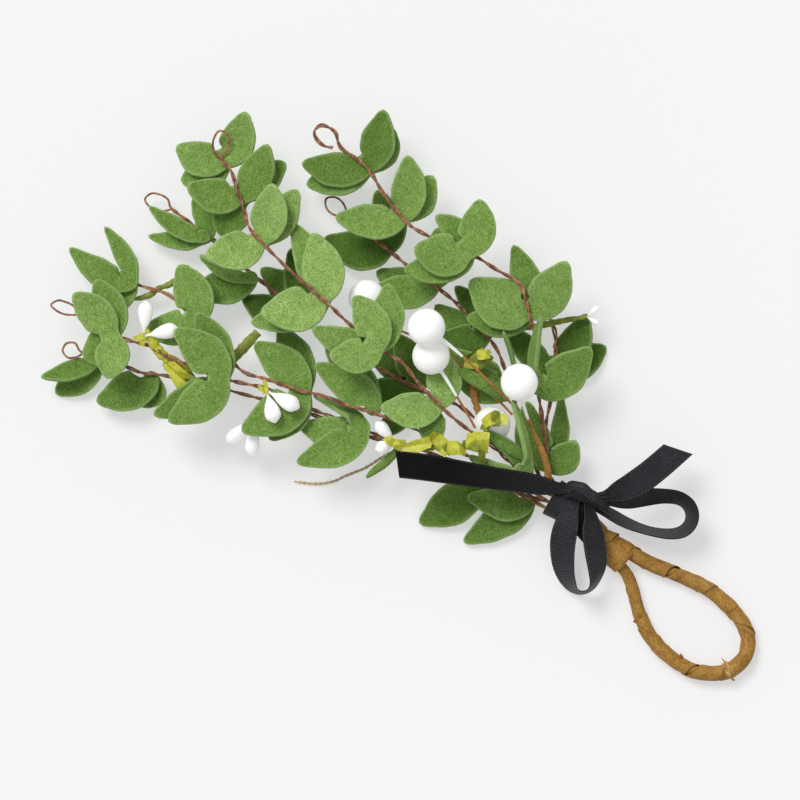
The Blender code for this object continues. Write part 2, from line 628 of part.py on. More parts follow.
def oval_ring(bm, centre, side, up, half_side, half_up, sides, power=1.0):
    """A ring of vertices round an oval; a power under 1 makes it squarer."""
    ring = []
    for k in range(sides):
        angle = 2 * math.pi * (k + 0.5) / sides
        c, s = math.cos(angle), math.sin(angle)
        u = math.copysign(abs(c) ** power, c) * half_side
        v = math.copysign(abs(s) ** power, s) * half_up
        ring.append(bm.verts.new(centre + side * u + up * v))
    return ring


def build_handle():
    """The wrapped bundle, its hanging loop and the loop's return under the collar."""
    bundle = [Vector(row[:3]) for row in BUNDLE_ROUTE]
    loop = even_points(spline(LOOP_ROUTE), 6.5)
    points = bundle + loop
    bm = bmesh.new()
    rings = []
    for index, (point, (side, up)) in enumerate(zip(points, carried_frames(points))):
        if index < len(bundle):
            half_side, half_up = BUNDLE_ROUTE[index][3:]
        else:
            share = min(1.0, max(0.0, (index - len(bundle)) / len(loop) * 4 - 2.4))
            half_side = HANDLE_RADIUS + (LOOP_LOWER_RADIUS - HANDLE_RADIUS) * share
            half_up = half_side
            point = Vector((point.x, point.y, point.z - HANDLE_RADIUS + half_up))
        rings.append(oval_ring(bm, point, side, up, half_side, half_up, HANDLE_SIDES))
    bridge_rings(bm, rings)
    finish_object("wrapped_handle", bm, kraft_paper(), bundle[0])


def build_sleeve(name, mat, stations, wall, sides, power=1.0):
    """A closed band round something: stations are (centre, half width, half height)."""
    centres = [Vector(row[0]) for row in stations]
    bm = bmesh.new()
    outer, inner = [], []
    for centre, heading, row in zip(centres, tangents(centres), stations):
        side = heading.cross(UP).normalized()
        up = side.cross(heading)
        outer.append(oval_ring(bm, centre, side, up, row[1] + wall, row[2] + wall,
                               sides, power))
        inner.append(oval_ring(bm, centre, side, up, row[1], row[2], sides, power))
    bridge_rings(bm, outer, cap_start=False, cap_end=False)
    bridge_rings(bm, inner, cap_start=False, cap_end=False)
    for first, second in ((outer[0], inner[0]), (outer[-1], inner[-1])):
        for i in range(sides):
            j = (i + 1) % sides
            bm.faces.new((first[i], first[j], second[j], second[i]))
    finish_object(name, bm, mat, centres[0])


def build_collar():
    """The paper band that binds the loop's return leg to the bundle."""
    stations = (((107, -30.2, 6.1), 9.2, 4.75), ((112.5, -30.8, 5.9), 9.2, 4.6),
                ((119, -30.8, 5.7), 9.2, 4.5))
    build_sleeve("handle_collar", kraft_paper(), stations, COLLAR_WALL, 16, 0.55)


def build_tie():
    """The thin paper tie round the loop's far end."""
    stations = (((192.2, -52.2, 4.9), 4.5, 4.5), ((190.6, -54.4, 4.9), 4.5, 4.5))
    build_sleeve("loop_tie", kraft_paper(), stations, 0.4, 12)


def build_ribbon(name, strip):
    """One length of ribbon, with its own width and thickness at each station."""
    places = [Vector(row[0]) for row in strip]
    curve = spline(places, samples=2)
    rows = []
    for a, b in zip(strip, strip[1:]):
        rows += [a, (None, (Vector(a[1]) + Vector(b[1])) / 2, (a[2] + b[2]) / 2,
                     (a[3] + b[3]) / 2)]
    rows.append(strip[-1])
    bm = bmesh.new()
    rings = []
    for point, row, heading in zip(curve, rows, tangents(curve)):
        edge = Vector(row[1])
        edge = (edge - heading * edge.dot(heading)).normalized()
        normal = heading.cross(edge) * row[3] / 2
        wide = edge * row[2]
        rings.append([bm.verts.new(point + offset) for offset in
                      (normal - wide, normal + wide, wide - normal, -wide - normal)])
    bridge_rings(bm, rings)
    finish_object(f"ribbon_{name}", bm, ribbon_cloth(), places[0])


def build_ribbon_wrap():
    """The turn of ribbon round the stems, under the knot."""
    stations = (((69.5, -22, 13), 10.2, 8), ((74.8, -22, 13), 10.2, 8))
    build_sleeve("ribbon_wrap", ribbon_cloth(), stations, 0.6, 16)


def rest_on_origin():
    """Moves everything so that the origin is at the middle of the underside."""
    low = Vector((math.inf,) * 3)
    high = Vector((-math.inf,) * 3)
    solids = [obj for obj in bpy.context.scene.objects if obj.type == "MESH"]
    for obj in solids:
        for vertex in obj.data.vertices:
            place = vertex.co + obj.location
            low = Vector(map(min, low, place))
            high = Vector(map(max, high, place))
    shift = Vector(((low.x + high.x) / 2, (low.y + high.y) / 2, low.z))
    for obj in bpy.context.scene.objects:
        obj.location -= shift


def main():
    for obj in list(bpy.data.objects):
        bpy.data.objects.remove(obj, do_unlink=True)
    for sprig in SPRIGS:
        build_wire(sprig)
    for name, (sprig, spot, place, leaves) in WHORLS.items():
        build_whorl(name, sprig, spot, place, leaves)
    for name, route in BERRIES.items():
        build_berry(name, route)
    for name, (first, joint, second) in BUD_PAIRS.items():
        build_buds(name, first, joint, second)
    for name, route in PAPER_BITS.items():
        build_paper(name, route)
    build_twine()
    build_handle()
    build_collar()
    build_tie()
    for name, strip in RIBBON_STRIPS.items():
        build_ribbon(name, strip)
    build_ribbon_wrap()
    rest_on_origin()


main()
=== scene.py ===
"""The looks of the mistletoe bunch: felt, twisted wire, foam, crinkled paper, kraft wrap
and ribbon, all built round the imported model's own solids. Lengths here are millimetres
until a mesh is made."""
import itertools
import math

import bpy
import numpy as np
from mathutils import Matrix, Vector


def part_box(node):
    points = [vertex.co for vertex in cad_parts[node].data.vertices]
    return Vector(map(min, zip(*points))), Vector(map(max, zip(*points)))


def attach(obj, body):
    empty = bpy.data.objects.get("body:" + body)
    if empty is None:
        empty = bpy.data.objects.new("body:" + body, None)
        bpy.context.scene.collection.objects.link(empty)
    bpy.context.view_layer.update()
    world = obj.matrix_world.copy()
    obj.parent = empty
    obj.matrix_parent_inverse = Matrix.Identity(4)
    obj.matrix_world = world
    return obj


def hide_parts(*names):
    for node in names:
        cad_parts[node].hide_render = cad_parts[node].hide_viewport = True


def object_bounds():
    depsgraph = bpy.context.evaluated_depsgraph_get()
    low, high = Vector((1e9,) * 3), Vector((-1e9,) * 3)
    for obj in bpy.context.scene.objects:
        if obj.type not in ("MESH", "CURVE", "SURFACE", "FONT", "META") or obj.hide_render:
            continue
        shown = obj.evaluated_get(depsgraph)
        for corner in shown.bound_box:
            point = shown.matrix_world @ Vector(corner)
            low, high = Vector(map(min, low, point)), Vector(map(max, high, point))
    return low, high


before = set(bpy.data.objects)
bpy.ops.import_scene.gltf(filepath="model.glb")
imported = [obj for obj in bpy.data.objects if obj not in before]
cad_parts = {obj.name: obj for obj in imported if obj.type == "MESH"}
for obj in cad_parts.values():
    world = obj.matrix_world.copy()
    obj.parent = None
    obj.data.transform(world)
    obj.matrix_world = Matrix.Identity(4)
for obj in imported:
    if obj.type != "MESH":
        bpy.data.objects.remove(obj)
cad_low, cad_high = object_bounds()

MM = 0.001
UP = np.array([0.0, 0.0, 1.0])

# The camera looks straight down, turned so that the handle points to the lower right
VIEW_WIDTH = 400.0
VIEW_TURN = math.radians(30)
VIEW_SHIFT = (-18.2, -18.7)
CAMERA_HEIGHT = 3000.0
FLOOR_REACH = 12.0

# Light
SKY_LIGHT = 0.55
KEY_POWER = 2.15
KEY_SPREAD = math.radians(26)
KEY_FROM = (-0.78, 0.35, 1.05)
FLOOR_GLOW = 0.485

# Felt
FLATNESS = 0.99999
FELT_STEP = 0.9
FELT_EDGE = 0.85
WAIST_LENGTH = 3.2
TIP_WIDTH = 1.6
FELT_THICKNESS = 2.5
CUP_DEPTH = 1.9
TOP_POINTS, EDGE_POINTS, LOW_POINTS = 17, 6, 11      # round a felt section
LOW_START = TOP_POINTS + EDGE_POINTS
LOW_END = LOW_START + LOW_POINTS
FIBRE_HALF = 0.045
WEB_REACH = 3.4
WEB_LENGTH = 5.0

# Twisted wire
STRAND_RADIUS = 0.56
STRAND_OFFSET = 0.55
TWIST_PITCH = 19.0
LOOP_LENGTH = 12.0
LOOP_GAP = 3.5

# Berries and buds
PICK_WHITE_LENGTH = 15.0
PICK_WHITE_RADIUS = 0.85
PICK_WIRE_RADIUS = 0.62
# a weak white glow painted on the foam to lighten its shading
FOAM_PAINTED_GLOW = 0.07
BUD_SLIMNESS = {"bud_pair_left": 0.86, "bud_pair_middle": 0.92, "bud_pair_right": 0.74,
                "bud_pair_low": 0.8}

# Handle
WRAP_PITCH = 15.0
WRAP_LAP = 0.6
TAPE_WIDTH = 1.3
TAPE_STEPS = 52
TAPE_ROWS = 21
TAPE_THICKNESS = 0.32
LEG_TAPER = 30.0
LEG_END = 0.74

# Ribbon
RIBBON_WIDTH = 13.0
STRIP_WIDTH = 15.0     # of the CAD solids that hold the ribbon
RIBBON_THICKNESS = 0.42
RIB_PITCH = 1.05
RIB_HEIGHT = 0.06
EDGE_CORD = 0.3
GRID_STEP = 0.35
LAP_WIDTH = 12.5
LAP_START = -1.0
PINCH_REACH = 17.0
LONG_PINCH = 25.0
PINCH_WIDTH = 0.4
PLEAT_DEPTH = 0.45
KNOT_RADIUS = 2.7
KNOT_ROLL = 2.75
KNOT_LEAN = np.array([-0.5, -0.85, 0.0])
# half width of the dark strip of painted shade inside the near loop
SHADE_STRIP_REACH = (3.9, 2.0, 0.0)
NEAR_LOOP_TILT = np.array([-0.2, -0.2, 0.25])
FAR_LOOP_TILT = np.array([-0.24, -0.24, 0.3])

# Twine
TWINE_PLY = 0.46
TWINE_PITCH = 5.5


# ---------------------------------------------------------------- reading the solids

def corners_of(node):
    """A solid's corner points in millimetres and its triangles."""
    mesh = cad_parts[node].data
    co = np.empty(len(mesh.vertices) * 3)
    mesh.vertices.foreach_get("co", co)
    co = np.round(co.reshape(-1, 3) / MM, 3)
    places, index = np.unique(co, axis=0, return_inverse=True)
    index = index.ravel()
    mesh.calc_loop_triangles()
    triangles = [[int(index[v]) for v in t.vertices] for t in mesh.loop_triangles]
    return places, [t for t in triangles if len(set(t)) == 3]


def neighbours_of(count, triangles):
    near = [set() for _ in range(count)]
    for triangle in triangles:
        for v in triangle:
            near[v].update(triangle)
            near[v].discard(v)
    return near


def flat_faces(places, triangles):
    """The corners of each flat face of a solid, as sets."""
    normals = {}
    by_edge = {}
    for k, (a, b, c) in enumerate(triangles):
        normal = np.cross(places[b] - places[a], places[c] - places[a])
        normals[k] = normal / max(np.linalg.norm(normal), 1e-12)
        for edge in ((a, b), (b, c), (c, a)):
            by_edge.setdefault(frozenset(edge), []).append(k)
    group = list(range(len(triangles)))

    def root(k):
        while group[k] != k:
            k = group[k]
        return k

    for pair in by_edge.values():
        if len(pair) == 2 and normals[pair[0]] @ normals[pair[1]] > FLATNESS:
            group[root(pair[0])] = root(pair[1])
    faces = {}
    for k, triangle in enumerate(triangles):
        faces.setdefault(root(k), set()).update(triangle)
    return sorted(faces.values(), key=lambda f: sorted(f))


def layers_from(start, near):
    """Rings of corners, each made of the last one's unseen neighbours."""
    layers = [sorted(start)]
    seen = set(start)
    while layers[-1]:
        ring = set().union(*(near[v] for v in layers[-1])) - seen
        seen |= ring
        layers.append(sorted(ring))
    return layers[:-1]


def tube_layers(node, sides):
    """The rings of a tube-like solid in order, as arrays of their corners."""
    places, triangles = corners_of(node)
    near = neighbours_of(len(places), triangles)
    for face in flat_faces(places, triangles):
        if len(face) == sides:
            layers = layers_from(face, near)
            if all(len(ring) == sides for ring in layers):
                return [places[ring] for ring in layers]
    raise ValueError(f"{node} isn't a tube of {sides} sides")


def matched(ring, before):
    """The ring's corners in the order that lies closest to the ring before it."""
    base = before - before.mean(0)
    moved = ring - ring.mean(0)
    orders = itertools.permutations(range(len(ring)))
    best = min(orders, key=lambda order: ((moved[list(order)] - base) ** 2).sum())
    return ring[list(best)]


def in_order(ring, wide):
    """A rectangle's corners as (left top, right top, right bottom, left bottom)."""
    middle = ring.mean(0)
    side = np.cross(wide, UP)
    high = np.cross(side, wide)
    if high[2] < 0:
        high = -high
    tall = sorted(ring, key=lambda p: (p - middle) @ high)
    low = sorted(tall[:2], key=lambda p: (p - middle) @ wide)
    top = sorted(tall[2:], key=lambda p: (p - middle) @ wide)
    return np.array([top[0], top[1], low[1], low[0]])


def felt_pairs(node):
    """The felt pairs of a whorl: each is a list of rings from one leaf's tip, over the
    waist, to the other leaf's tip, or to the waist's far end."""
    places, triangles = corners_of(node)
    near = neighbours_of(len(places), triangles)
    halves = []
    for face in flat_faces(places, triangles):
        tip = places[sorted(face)]
        if len(face) != 4:
            continue
        spans = sorted(np.linalg.norm(tip[1:] - tip[0], axis=1))
        if abs(spans[0] - TIP_WIDTH) > 0.02 or abs(spans[1] - FELT_THICKNESS) > 0.02:
            continue
        rings = layers_from(face, near)[:7]
        root = places[rings[-1]]
        for corner in rings[-1]:
            steps = [places[q] - places[corner] for q in near[corner]]
            steps = [step for step in steps
                     if abs(np.linalg.norm(step) - WAIST_LENGTH) < 0.02
                     and np.abs((root - root[0]) @ step).max() < 0.2]
            if steps:
                halves.append(([places[r] for r in rings], root, root + steps[0]))
                break
    pairs, used = [], set()
    for k, (rings, root, partner) in enumerate(halves):
        if k in used:
            continue
        other = [j for j, half in enumerate(halves) if j != k
                 and np.linalg.norm(half[1].mean(0) - partner.mean(0)) < 0.05]
        used.update([k, *other])
        chain = ordered_half(rings)
        if other:
            far = ordered_half(halves[other[0]][0])
            joined = [matched(far[-1], chain[-1])]
            for ring in reversed(far[:-1]):
                joined.append(matched(ring, joined[-1]))
            pairs.append((chain + joined, True))
        else:
            pairs.append((chain + [matched(partner, chain[-1])], False))
    return pairs


def ordered_half(rings):
    """A leaf's rings from tip to waist, all with their corners in the same order."""
    root = rings[-1]
    sides = [root[1] - root[0], root[2] - root[0], root[3] - root[0]]
    sides.sort(key=lambda s: np.linalg.norm(s))
    ordered = [in_order(root, sides[1])]
    for ring in reversed(rings[:-1]):
        ordered.append(matched(ring, ordered[-1]))
    return ordered[::-1]


# ---------------------------------------------------------------- shaping helpers

def unit(v):
    return v / max(np.linalg.norm(v), 1e-12)


def box_of(node):
    """A node's lowest and highest corners, in millimetres."""
    low, high = (np.array(corner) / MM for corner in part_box(node))
    return low, high


def circle(angles, side, up):
    return np.outer(np.cos(angles), side) + np.outer(np.sin(angles), up)


def link(name, data):
    obj = bpy.data.objects.new(name, data)
    bpy.context.scene.collection.objects.link(obj)
    return obj


def smooth_through(values, stations, targets):
    """Values along a smooth curve through the given values (Catmull-Rom by distance)."""
    values = np.asarray(values, float)
    stations = np.asarray(stations, float)
    slopes = np.gradient(values, stations, axis=0)
    k = np.clip(np.searchsorted(stations, targets, side="right") - 1, 0,
                len(stations) - 2)
    span = stations[k + 1] - stations[k]
    u = (targets - stations[k]) / span
    shape = (-1,) + (1,) * (values.ndim - 1)
    u, span = u.reshape(shape), span.reshape(shape)
    return (values[k] * (2 * u ** 3 - 3 * u ** 2 + 1)
            + values[k + 1] * (3 * u ** 2 - 2 * u ** 3)
            + slopes[k] * span * (u ** 3 - 2 * u ** 2 + u)
            + slopes[k + 1] * span * (u ** 3 - u ** 2))


def distances(points):
    steps = np.linalg.norm(np.diff(points, axis=0), axis=1)
    return np.concatenate([[0.0], np.cumsum(steps)])


def refined(points, step):
    """Evenly spaced points on a smooth curve through the given ones."""
    points = np.asarray(points, float)
    along = distances(points)
    count = max(3, int(round(along[-1] / step)) + 1)
    return smooth_through(points, along, np.linspace(0, along[-1], count))


def directions(points):
    return np.array([unit(t) for t in np.gradient(points, axis=0)])


def frames_along(points, start=UP):
    """Two axes across a path at each point, carried along it without twisting."""
    heads = directions(points)
    side = np.cross(heads[0], start)
    if np.linalg.norm(side) < 0.1:
        side = np.cross(heads[0], [1.0, 0.0, 0.0])
    sides = []
    for head in heads:
        side = unit(side - head * (side @ head))
        sides.append(side)
    sides = np.array(sides)
    return sides, np.cross(heads, sides)


def ripple(points, size, seed):
    """A smooth pattern of bumps between -1 and 1, about one for each size."""
    rng = np.random.RandomState(seed)
    total = np.zeros(len(points))
    for _ in range(5):
        heading = unit(rng.normal(size=3))
        total += np.sin(points @ heading * 2 * math.pi / (size * rng.uniform(0.7, 1.6))
                        + rng.uniform(0, 6.28))
    return total / 3.2


def skin(rings, closed_start=True, closed_end=True):
    """Vertices and faces of a surface through rings of equal size, ends closed."""
    rings = np.asarray(rings)
    count, sides = rings.shape[:2]
    verts = list(rings.reshape(-1, 3))
    faces = []
    for i in range(count - 1):
        for j in range(sides):
            n = (j + 1) % sides
            faces.append((i * sides + j, i * sides + n,
                          (i + 1) * sides + n, (i + 1) * sides + j))
    for closed, ring, turn in ((closed_start, 0, -1), (closed_end, count - 1, 1)):
        if closed:
            centre = len(verts)
            verts.append(rings[ring].mean(0))
            for j in range(sides):
                a, b = ring * sides + j, ring * sides + (j + 1) % sides
                faces.append((a, b, centre) if turn > 0 else (b, a, centre))
    return verts, faces


class Shape:
    """Collects surfaces in millimetres and turns them into one piece."""

    def __init__(self):
        self.verts = []
        self.faces = []
        # the first mark holds painted highlights and painted shadows, the shade mark painted
        # shade, sheen and random tone
        self.marks = {"rim": [], "shade": []}

    def add(self, verts, faces, rim=0.0, shade=0.5):
        """rim and shade are numbers, or lists of one for each vertex, for materials."""
        base = len(self.verts)
        self.verts.extend(verts)
        self.faces.extend(tuple(base + v for v in face) for face in faces)
        for mark, value in (("rim", rim), ("shade", shade)):
            values = list(np.broadcast_to(value, np.shape(value) or len(verts)))
            values += [values[-1]] * (len(verts) - len(values))
            self.marks[mark].extend(values[:len(verts)])

    def piece(self, name, mat, slot, *nodes, sharp=60):
        mesh = bpy.data.meshes.new(name)
        places = np.array(self.verts)
        dip = np.minimum(places[:, 2] - cad_low.z / MM, 0)
        places[:, 2] -= 0.98 * dip
        mesh.from_pydata([tuple(p) for p in places * MM], [], self.faces)
        mesh.materials.append(mat)
        mesh.shade_smooth()
        mesh.set_sharp_from_angle(angle=math.radians(sharp))
        for mark, values in self.marks.items():
            layer = mesh.attributes.new(mark, "FLOAT", "POINT")
            layer.data.foreach_set("value", [float(v) for v in values])
        obj = link(name, mesh)
        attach(obj, "root")
        if nodes:
            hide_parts(*nodes)
        return obj


def round_tube(points, radii, sides=10, squash=1.0):
    """Rings of a round tube; radii is one number or one for each point."""
    side, up = frames_along(points)
    angles = 2 * math.pi * np.arange(sides) / sides
    radii = np.broadcast_to(np.asarray(radii, float), len(points))
    return [p + r * (np.outer(np.cos(angles), s) + squash * np.outer(np.sin(angles), u))
            for p, r, s, u in zip(points, radii, side, up)]


# ---------------------------------------------------------------- materials

class Finish:
    """A material whose nodes are added one at a time."""

    def __init__(self, name, roughness=0.8, **sockets):
        self.mat = bpy.data.materials.new(name)
        self.mat.use_nodes = True
        self.tree = self.mat.node_tree
        self.shader = self.tree.nodes["Principled BSDF"]
        self.shader.inputs["Roughness"].default_value = roughness
        for socket, value in sockets.items():
            self.shader.inputs[socket.replace("_", " ")].default_value = value

    def node(self, kind, links=None, **values):
        node = self.tree.nodes.new("ShaderNode" + kind)
        for key, value in values.items():
            if hasattr(node, key):
                setattr(node, key, value)
            else:
                node.inputs[key.replace("_", " ")].default_value = value
        for socket, source in (links or {}).items():
            self.tree.links.new(source, node.inputs[socket])
        return node

    def place(self, scale, turn=(0, 0, 0)):
        """Object coordinates, turned and then scaled from metres."""
        coords = self.node("TexCoord")
        mapping = self.node("Mapping", {"Vector": coords.outputs["Object"]},
                            vector_type="TEXTURE", Rotation=turn,
                            Scale=tuple(1.0 / s for s in scale))
        return mapping.outputs["Vector"]

    def mark(self, name):
        """A number stored on the mesh's points."""
        return self.node("Attribute", attribute_name=name).outputs["Fac"]

    def noise(self, scale, detail=3.0, roughness=0.6, stretch=(1, 1, 1), turn=(0, 0, 0)):
        """Noise with features about scale millimetres across."""
        size = tuple(s * 1000.0 / scale for s in stretch)
        node = self.node("TexNoise", {"Vector": self.place(size, turn)},
                         Scale=1.0, Detail=detail, Roughness=roughness)
        return node.outputs["Fac"]

    def ramp(self, source, *stops):
        """Colours at positions from 0 to 1: stops are (position, colour or grey)."""
        node = self.node("ValToRGB", {"Fac": source})
        elements = node.color_ramp.elements
        while len(elements) < len(stops):
            elements.new(0.5)
        for element, (position, colour) in zip(elements, stops):
            element.position = position
            element.color = (*np.broadcast_to(colour, 3).tolist(), 1.0)
        return node.outputs["Color"]

    def feed(self, socket, value):
        if hasattr(value, "links"):
            self.tree.links.new(value, socket)
        else:
            socket.default_value = (*value, 1.0) if isinstance(value, tuple) else value

    def strongest(self, sources):
        """The highest of several sources at each place."""
        best = None
        for source in sources:
            best = source if best is None else self.math("MAXIMUM", best, source)
        return best

    def mix(self, fac, a, b, blend="MIX"):
        node = self.node("Mix", data_type="RGBA", blend_type=blend)
        for socket, value in ((0, fac), (6, a), (7, b)):
            self.feed(node.inputs[socket], value)
        return node.outputs[2]

    def math(self, operation, a, b=0.5):
        node = self.node("Math", operation=operation)
        for socket, value in ((0, a), (1, b)):
            self.feed(node.inputs[socket], value)
        return node.outputs[0]

    def colour(self, source):
        self.tree.links.new(source, self.shader.inputs["Base Color"])
        return self

    def bump(self, source, depth, strength=0.8):
        """Relief of the given depth in millimetres."""
        node = self.node("Bump", {"Height": source}, Strength=strength,
                         Distance=depth * MM)
        self.tree.links.new(node.outputs["Normal"], self.shader.inputs["Normal"])
        return self


def felt_finish():
    """Matted wool: short fibres lying every way, with a painted highlight on its cut edges
    and stray fibres, and painted shade from the shade mark.
    """
    f = Finish("felt", 0.95, Specular_IOR_Level=0.15, Sheen_Weight=0.3,
               Sheen_Roughness=0.5, Sheen_Tint=(0.6, 0.85, 0.4, 1))
    strands = f.strongest(
        f.noise(0.9, 2.0, 0.55, stretch=(0.24, 2.3, 2.3),
                turn=(0.2 * k - 0.4, 0.15, math.radians(degrees)))
        for k, degrees in enumerate((5, 40, 78, 112, 150)))
    flecks = f.noise(0.8, 3.0, 0.7)
    clouds = f.noise(11.0, 2.0, 0.5)
    body = f.ramp(strands, (0.50, (0.11, 0.21, 0.032)), (0.61, (0.215, 0.36, 0.083)),
                  (0.74, (0.39, 0.53, 0.195)))
    spots = f.ramp(flecks, (0.30, (0.4, 0.5, 0.35)), (0.46, (1.0, 1.0, 1.0)))
    flecked = f.mix(0.7, body, spots, "MULTIPLY")
    tone = f.ramp(clouds, (0.3, (0.86, 0.9, 0.85)), (0.7, (1.1, 1.06, 1.1)))
    toned = f.mix(1.0, flecked, tone, "MULTIPLY")
    # painted shade: the shade mark darkens the lower leaves and lightens the top ones, with
    # random tone mixed in
    painted_height_shade = f.ramp(f.mark("shade"), (0.0, (0.22, 0.3, 0.12)), (0.5, (0.76, 0.81, 0.66)),
                 (1.0, (1.32, 1.24, 1.38)))
    height_shaded = f.mix(1.0, toned, painted_height_shade, "MULTIPLY")
    # painted highlight: cut edges, tips and stray fibres are mixed toward a pale green
    cut = f.ramp(f.mark("rim"), (0.0, (0, 0, 0)), (1.0, 0.42))
    f.colour(f.mix(cut, height_shaded, (0.36, 0.5, 0.2)))
    relief = f.math("ADD", f.math("MULTIPLY", strands, 0.8), flecks)
    return f.bump(relief, 0.5, 0.8).mat


def wire_finish():
    """Brown paper-covered wire, rubbed lighter in places."""
    f = Finish("wire_paper", 0.55)
    worn = f.noise(3.0, 4.0, 0.65)
    grain = f.noise(0.5, 2.0, 0.6)
    body = f.ramp(worn, (0.34, (0.12, 0.042, 0.022)), (0.5, (0.28, 0.115, 0.054)),
                  (0.66, (0.5, 0.265, 0.14)))
    f.colour(f.mix(0.5, body, f.ramp(grain, (0.3, (0.5, 0.45, 0.45)),
                                     (0.7, 1.15)), "MULTIPLY"))
    return f.bump(f.math("ADD", grain, worn), 0.2, 0.6).mat


def copper_finish():
    """The orange-brown wire of the picks."""
    f = Finish("pick_wire", 0.42, Metallic=0.25)
    streaks = f.noise(1.4, 3.0, 0.6)
    f.colour(f.ramp(streaks, (0.3, (0.32, 0.105, 0.02)), (0.7, (0.6, 0.26, 0.075))))
    return f.bump(streaks, 0.1, 0.4).mat


def foam_finish():
    """Smooth white foam with the faintest grain, and a weak painted glow that lightens its
    shading.
    """
    f = Finish("white_foam", 0.5, Specular_IOR_Level=0.35, Subsurface_Weight=0.5,
               Subsurface_Radius=(0.006, 0.006, 0.006), Subsurface_Scale=1.0,
               Emission_Color=(1, 1, 1, 1), Emission_Strength=FOAM_PAINTED_GLOW)
    grain = f.noise(0.8, 2.0, 0.5)
    tint = f.noise(9.0, 2.0, 0.5)
    f.colour(f.ramp(tint, (0.3, (0.93, 0.93, 0.915)), (0.7, (0.97, 0.97, 0.96))))
    return f.bump(grain, 0.03, 0.4).mat


def paper_finish(name, dark, mid, light, roughness=0.55):
    """Crinkled coloured paper: fine creases, with painted shade in their low parts."""
    f = Finish(name, roughness, Specular_IOR_Level=0.5)
    crease = f.noise(2.6, 4.0, 0.7)
    grain = f.noise(0.45, 2.0, 0.6, stretch=(0.4, 1.3, 1.3))
    # painted shade: the crease noise also drives the bump, so the low creases are darker
    body = f.ramp(crease, (0.34, dark), (0.5, mid), (0.68, light))
    f.colour(f.mix(0.35, body, f.ramp(grain, (0.3, (0.7, 0.7, 0.6)),
                                      (0.7, (1.15, 1.15, 1.1))), "MULTIPLY"))
    return f.bump(f.math("ADD", crease, f.math("MULTIPLY", grain, 0.4)), 0.16, 0.5).mat


def kraft_finish():
    """Brown kraft paper tape: fine fibres, and a painted shadow line at each lap."""
    f = Finish("kraft_tape", 0.6, Specular_IOR_Level=0.35)
    mottle = f.noise(7.0, 3.0, 0.6)
    fibre = f.strongest(f.noise(0.7, 3.0, 0.55, stretch=(0.1, 1.7, 1.7),
                                turn=(0, 0, math.radians(degrees)))
                        for degrees in (-58, -30, 15, 70))
    crack = f.noise(2.4, 4.0, 0.7, stretch=(0.35, 2.2, 1.0), turn=(0, 0, -0.9))
    body = f.ramp(mottle, (0.25, (0.31, 0.155, 0.024)), (0.5, (0.37, 0.195, 0.034)),
                  (0.75, (0.43, 0.245, 0.05)))
    lined = f.mix(1.0, body, f.ramp(fibre, (0.50, (0.58, 0.48, 0.33)),
                                    (0.60, (0.97, 0.96, 0.92)),
                                    (0.74, (1.34, 1.4, 1.55))), "MULTIPLY")
    cracked = f.mix(0.9, lined, f.ramp(crack, (0.33, (0.35, 0.25, 0.15)),
                                       (0.38, (1, 1, 1))), "MULTIPLY")
    # painted shadow: the mark darkens the band just past each lap's edge
    lap = f.ramp(f.mark("rim"), (0.0, (1, 1, 1)), (1.0, (0.55, 0.46, 0.36)))
    f.colour(f.mix(1.0, cracked, lap, "MULTIPLY"))
    relief = f.math("ADD", crack, f.math("MULTIPLY", fibre, 0.5))
    return f.bump(relief, 0.3, 0.5).mat


def ribbon_finish():
    """Black grosgrain: its ribs are in the mesh, with a painted highlight on their tops, and
    painted sheen and shade along each strip from the shade mark.
    """
    f = Finish("grosgrain", 0.46, Specular_IOR_Level=0.14, Sheen_Weight=0.02,
               Sheen_Roughness=0.4)
    thread = f.noise(0.45, 2.0, 0.6)
    clouds = f.noise(18.0, 2.0, 0.5)
    body = f.ramp(thread, (0.35, (0.004, 0.004, 0.005)), (0.65, (0.026, 0.026, 0.029)))
    tone = f.ramp(clouds, (0.3, 0.8), (0.7, 1.2))
    toned = f.mix(1.0, body, tone, "MULTIPLY")
    # painted highlight on the rib tops
    ribs = f.ramp(f.mark("rim"), (0.0, 0.45), (1.0, (1.9, 1.9, 1.95)))
    rib_highlighted = f.mix(1.0, toned, ribs, "MULTIPLY")
    # painted sheen and shade: the shade mark makes the long tail nearly black and the loops
    # lighter
    painted_sheen = f.ramp(f.mark("shade"), (0.0, 0.05), (1.0, (2.6, 2.6, 2.65)))
    f.colour(f.mix(1.0, rib_highlighted, painted_sheen, "MULTIPLY"))
    return f.bump(thread, 0.1, 0.6).mat


def stitch_finish():
    """The pale thread of the ribbon's edge."""
    f = Finish("edge_thread", 0.6)
    thread = f.noise(0.4, 2.0, 0.6)
    f.colour(f.ramp(thread, (0.3, (0.12, 0.12, 0.125)), (0.7, (0.3, 0.3, 0.31))))
    return f.bump(thread, 0.1, 0.5).mat


def twine_finish():
    """Natural jute fibre."""
    f = Finish("jute", 0.9)
    fibre = f.noise(0.6, 3.0, 0.65)
    f.colour(f.ramp(fibre, (0.3, (0.36, 0.24, 0.12)), (0.7, (0.78, 0.66, 0.48))))
    return f.bump(fibre, 0.2, 0.7).mat


def floor_finish():
    """A pale, matt table, lit a little from below as a light table is."""
    f = Finish("floor", 0.9, Specular_IOR_Level=0.05, Emission_Color=(1, 1, 1, 1),
               Emission_Strength=FLOOR_GLOW)
    grain = f.noise(400.0, 1.0, 0.4)
    f.colour(f.ramp(grain, (0.2, 0.4), (0.8, 0.41)))
    return f.mat


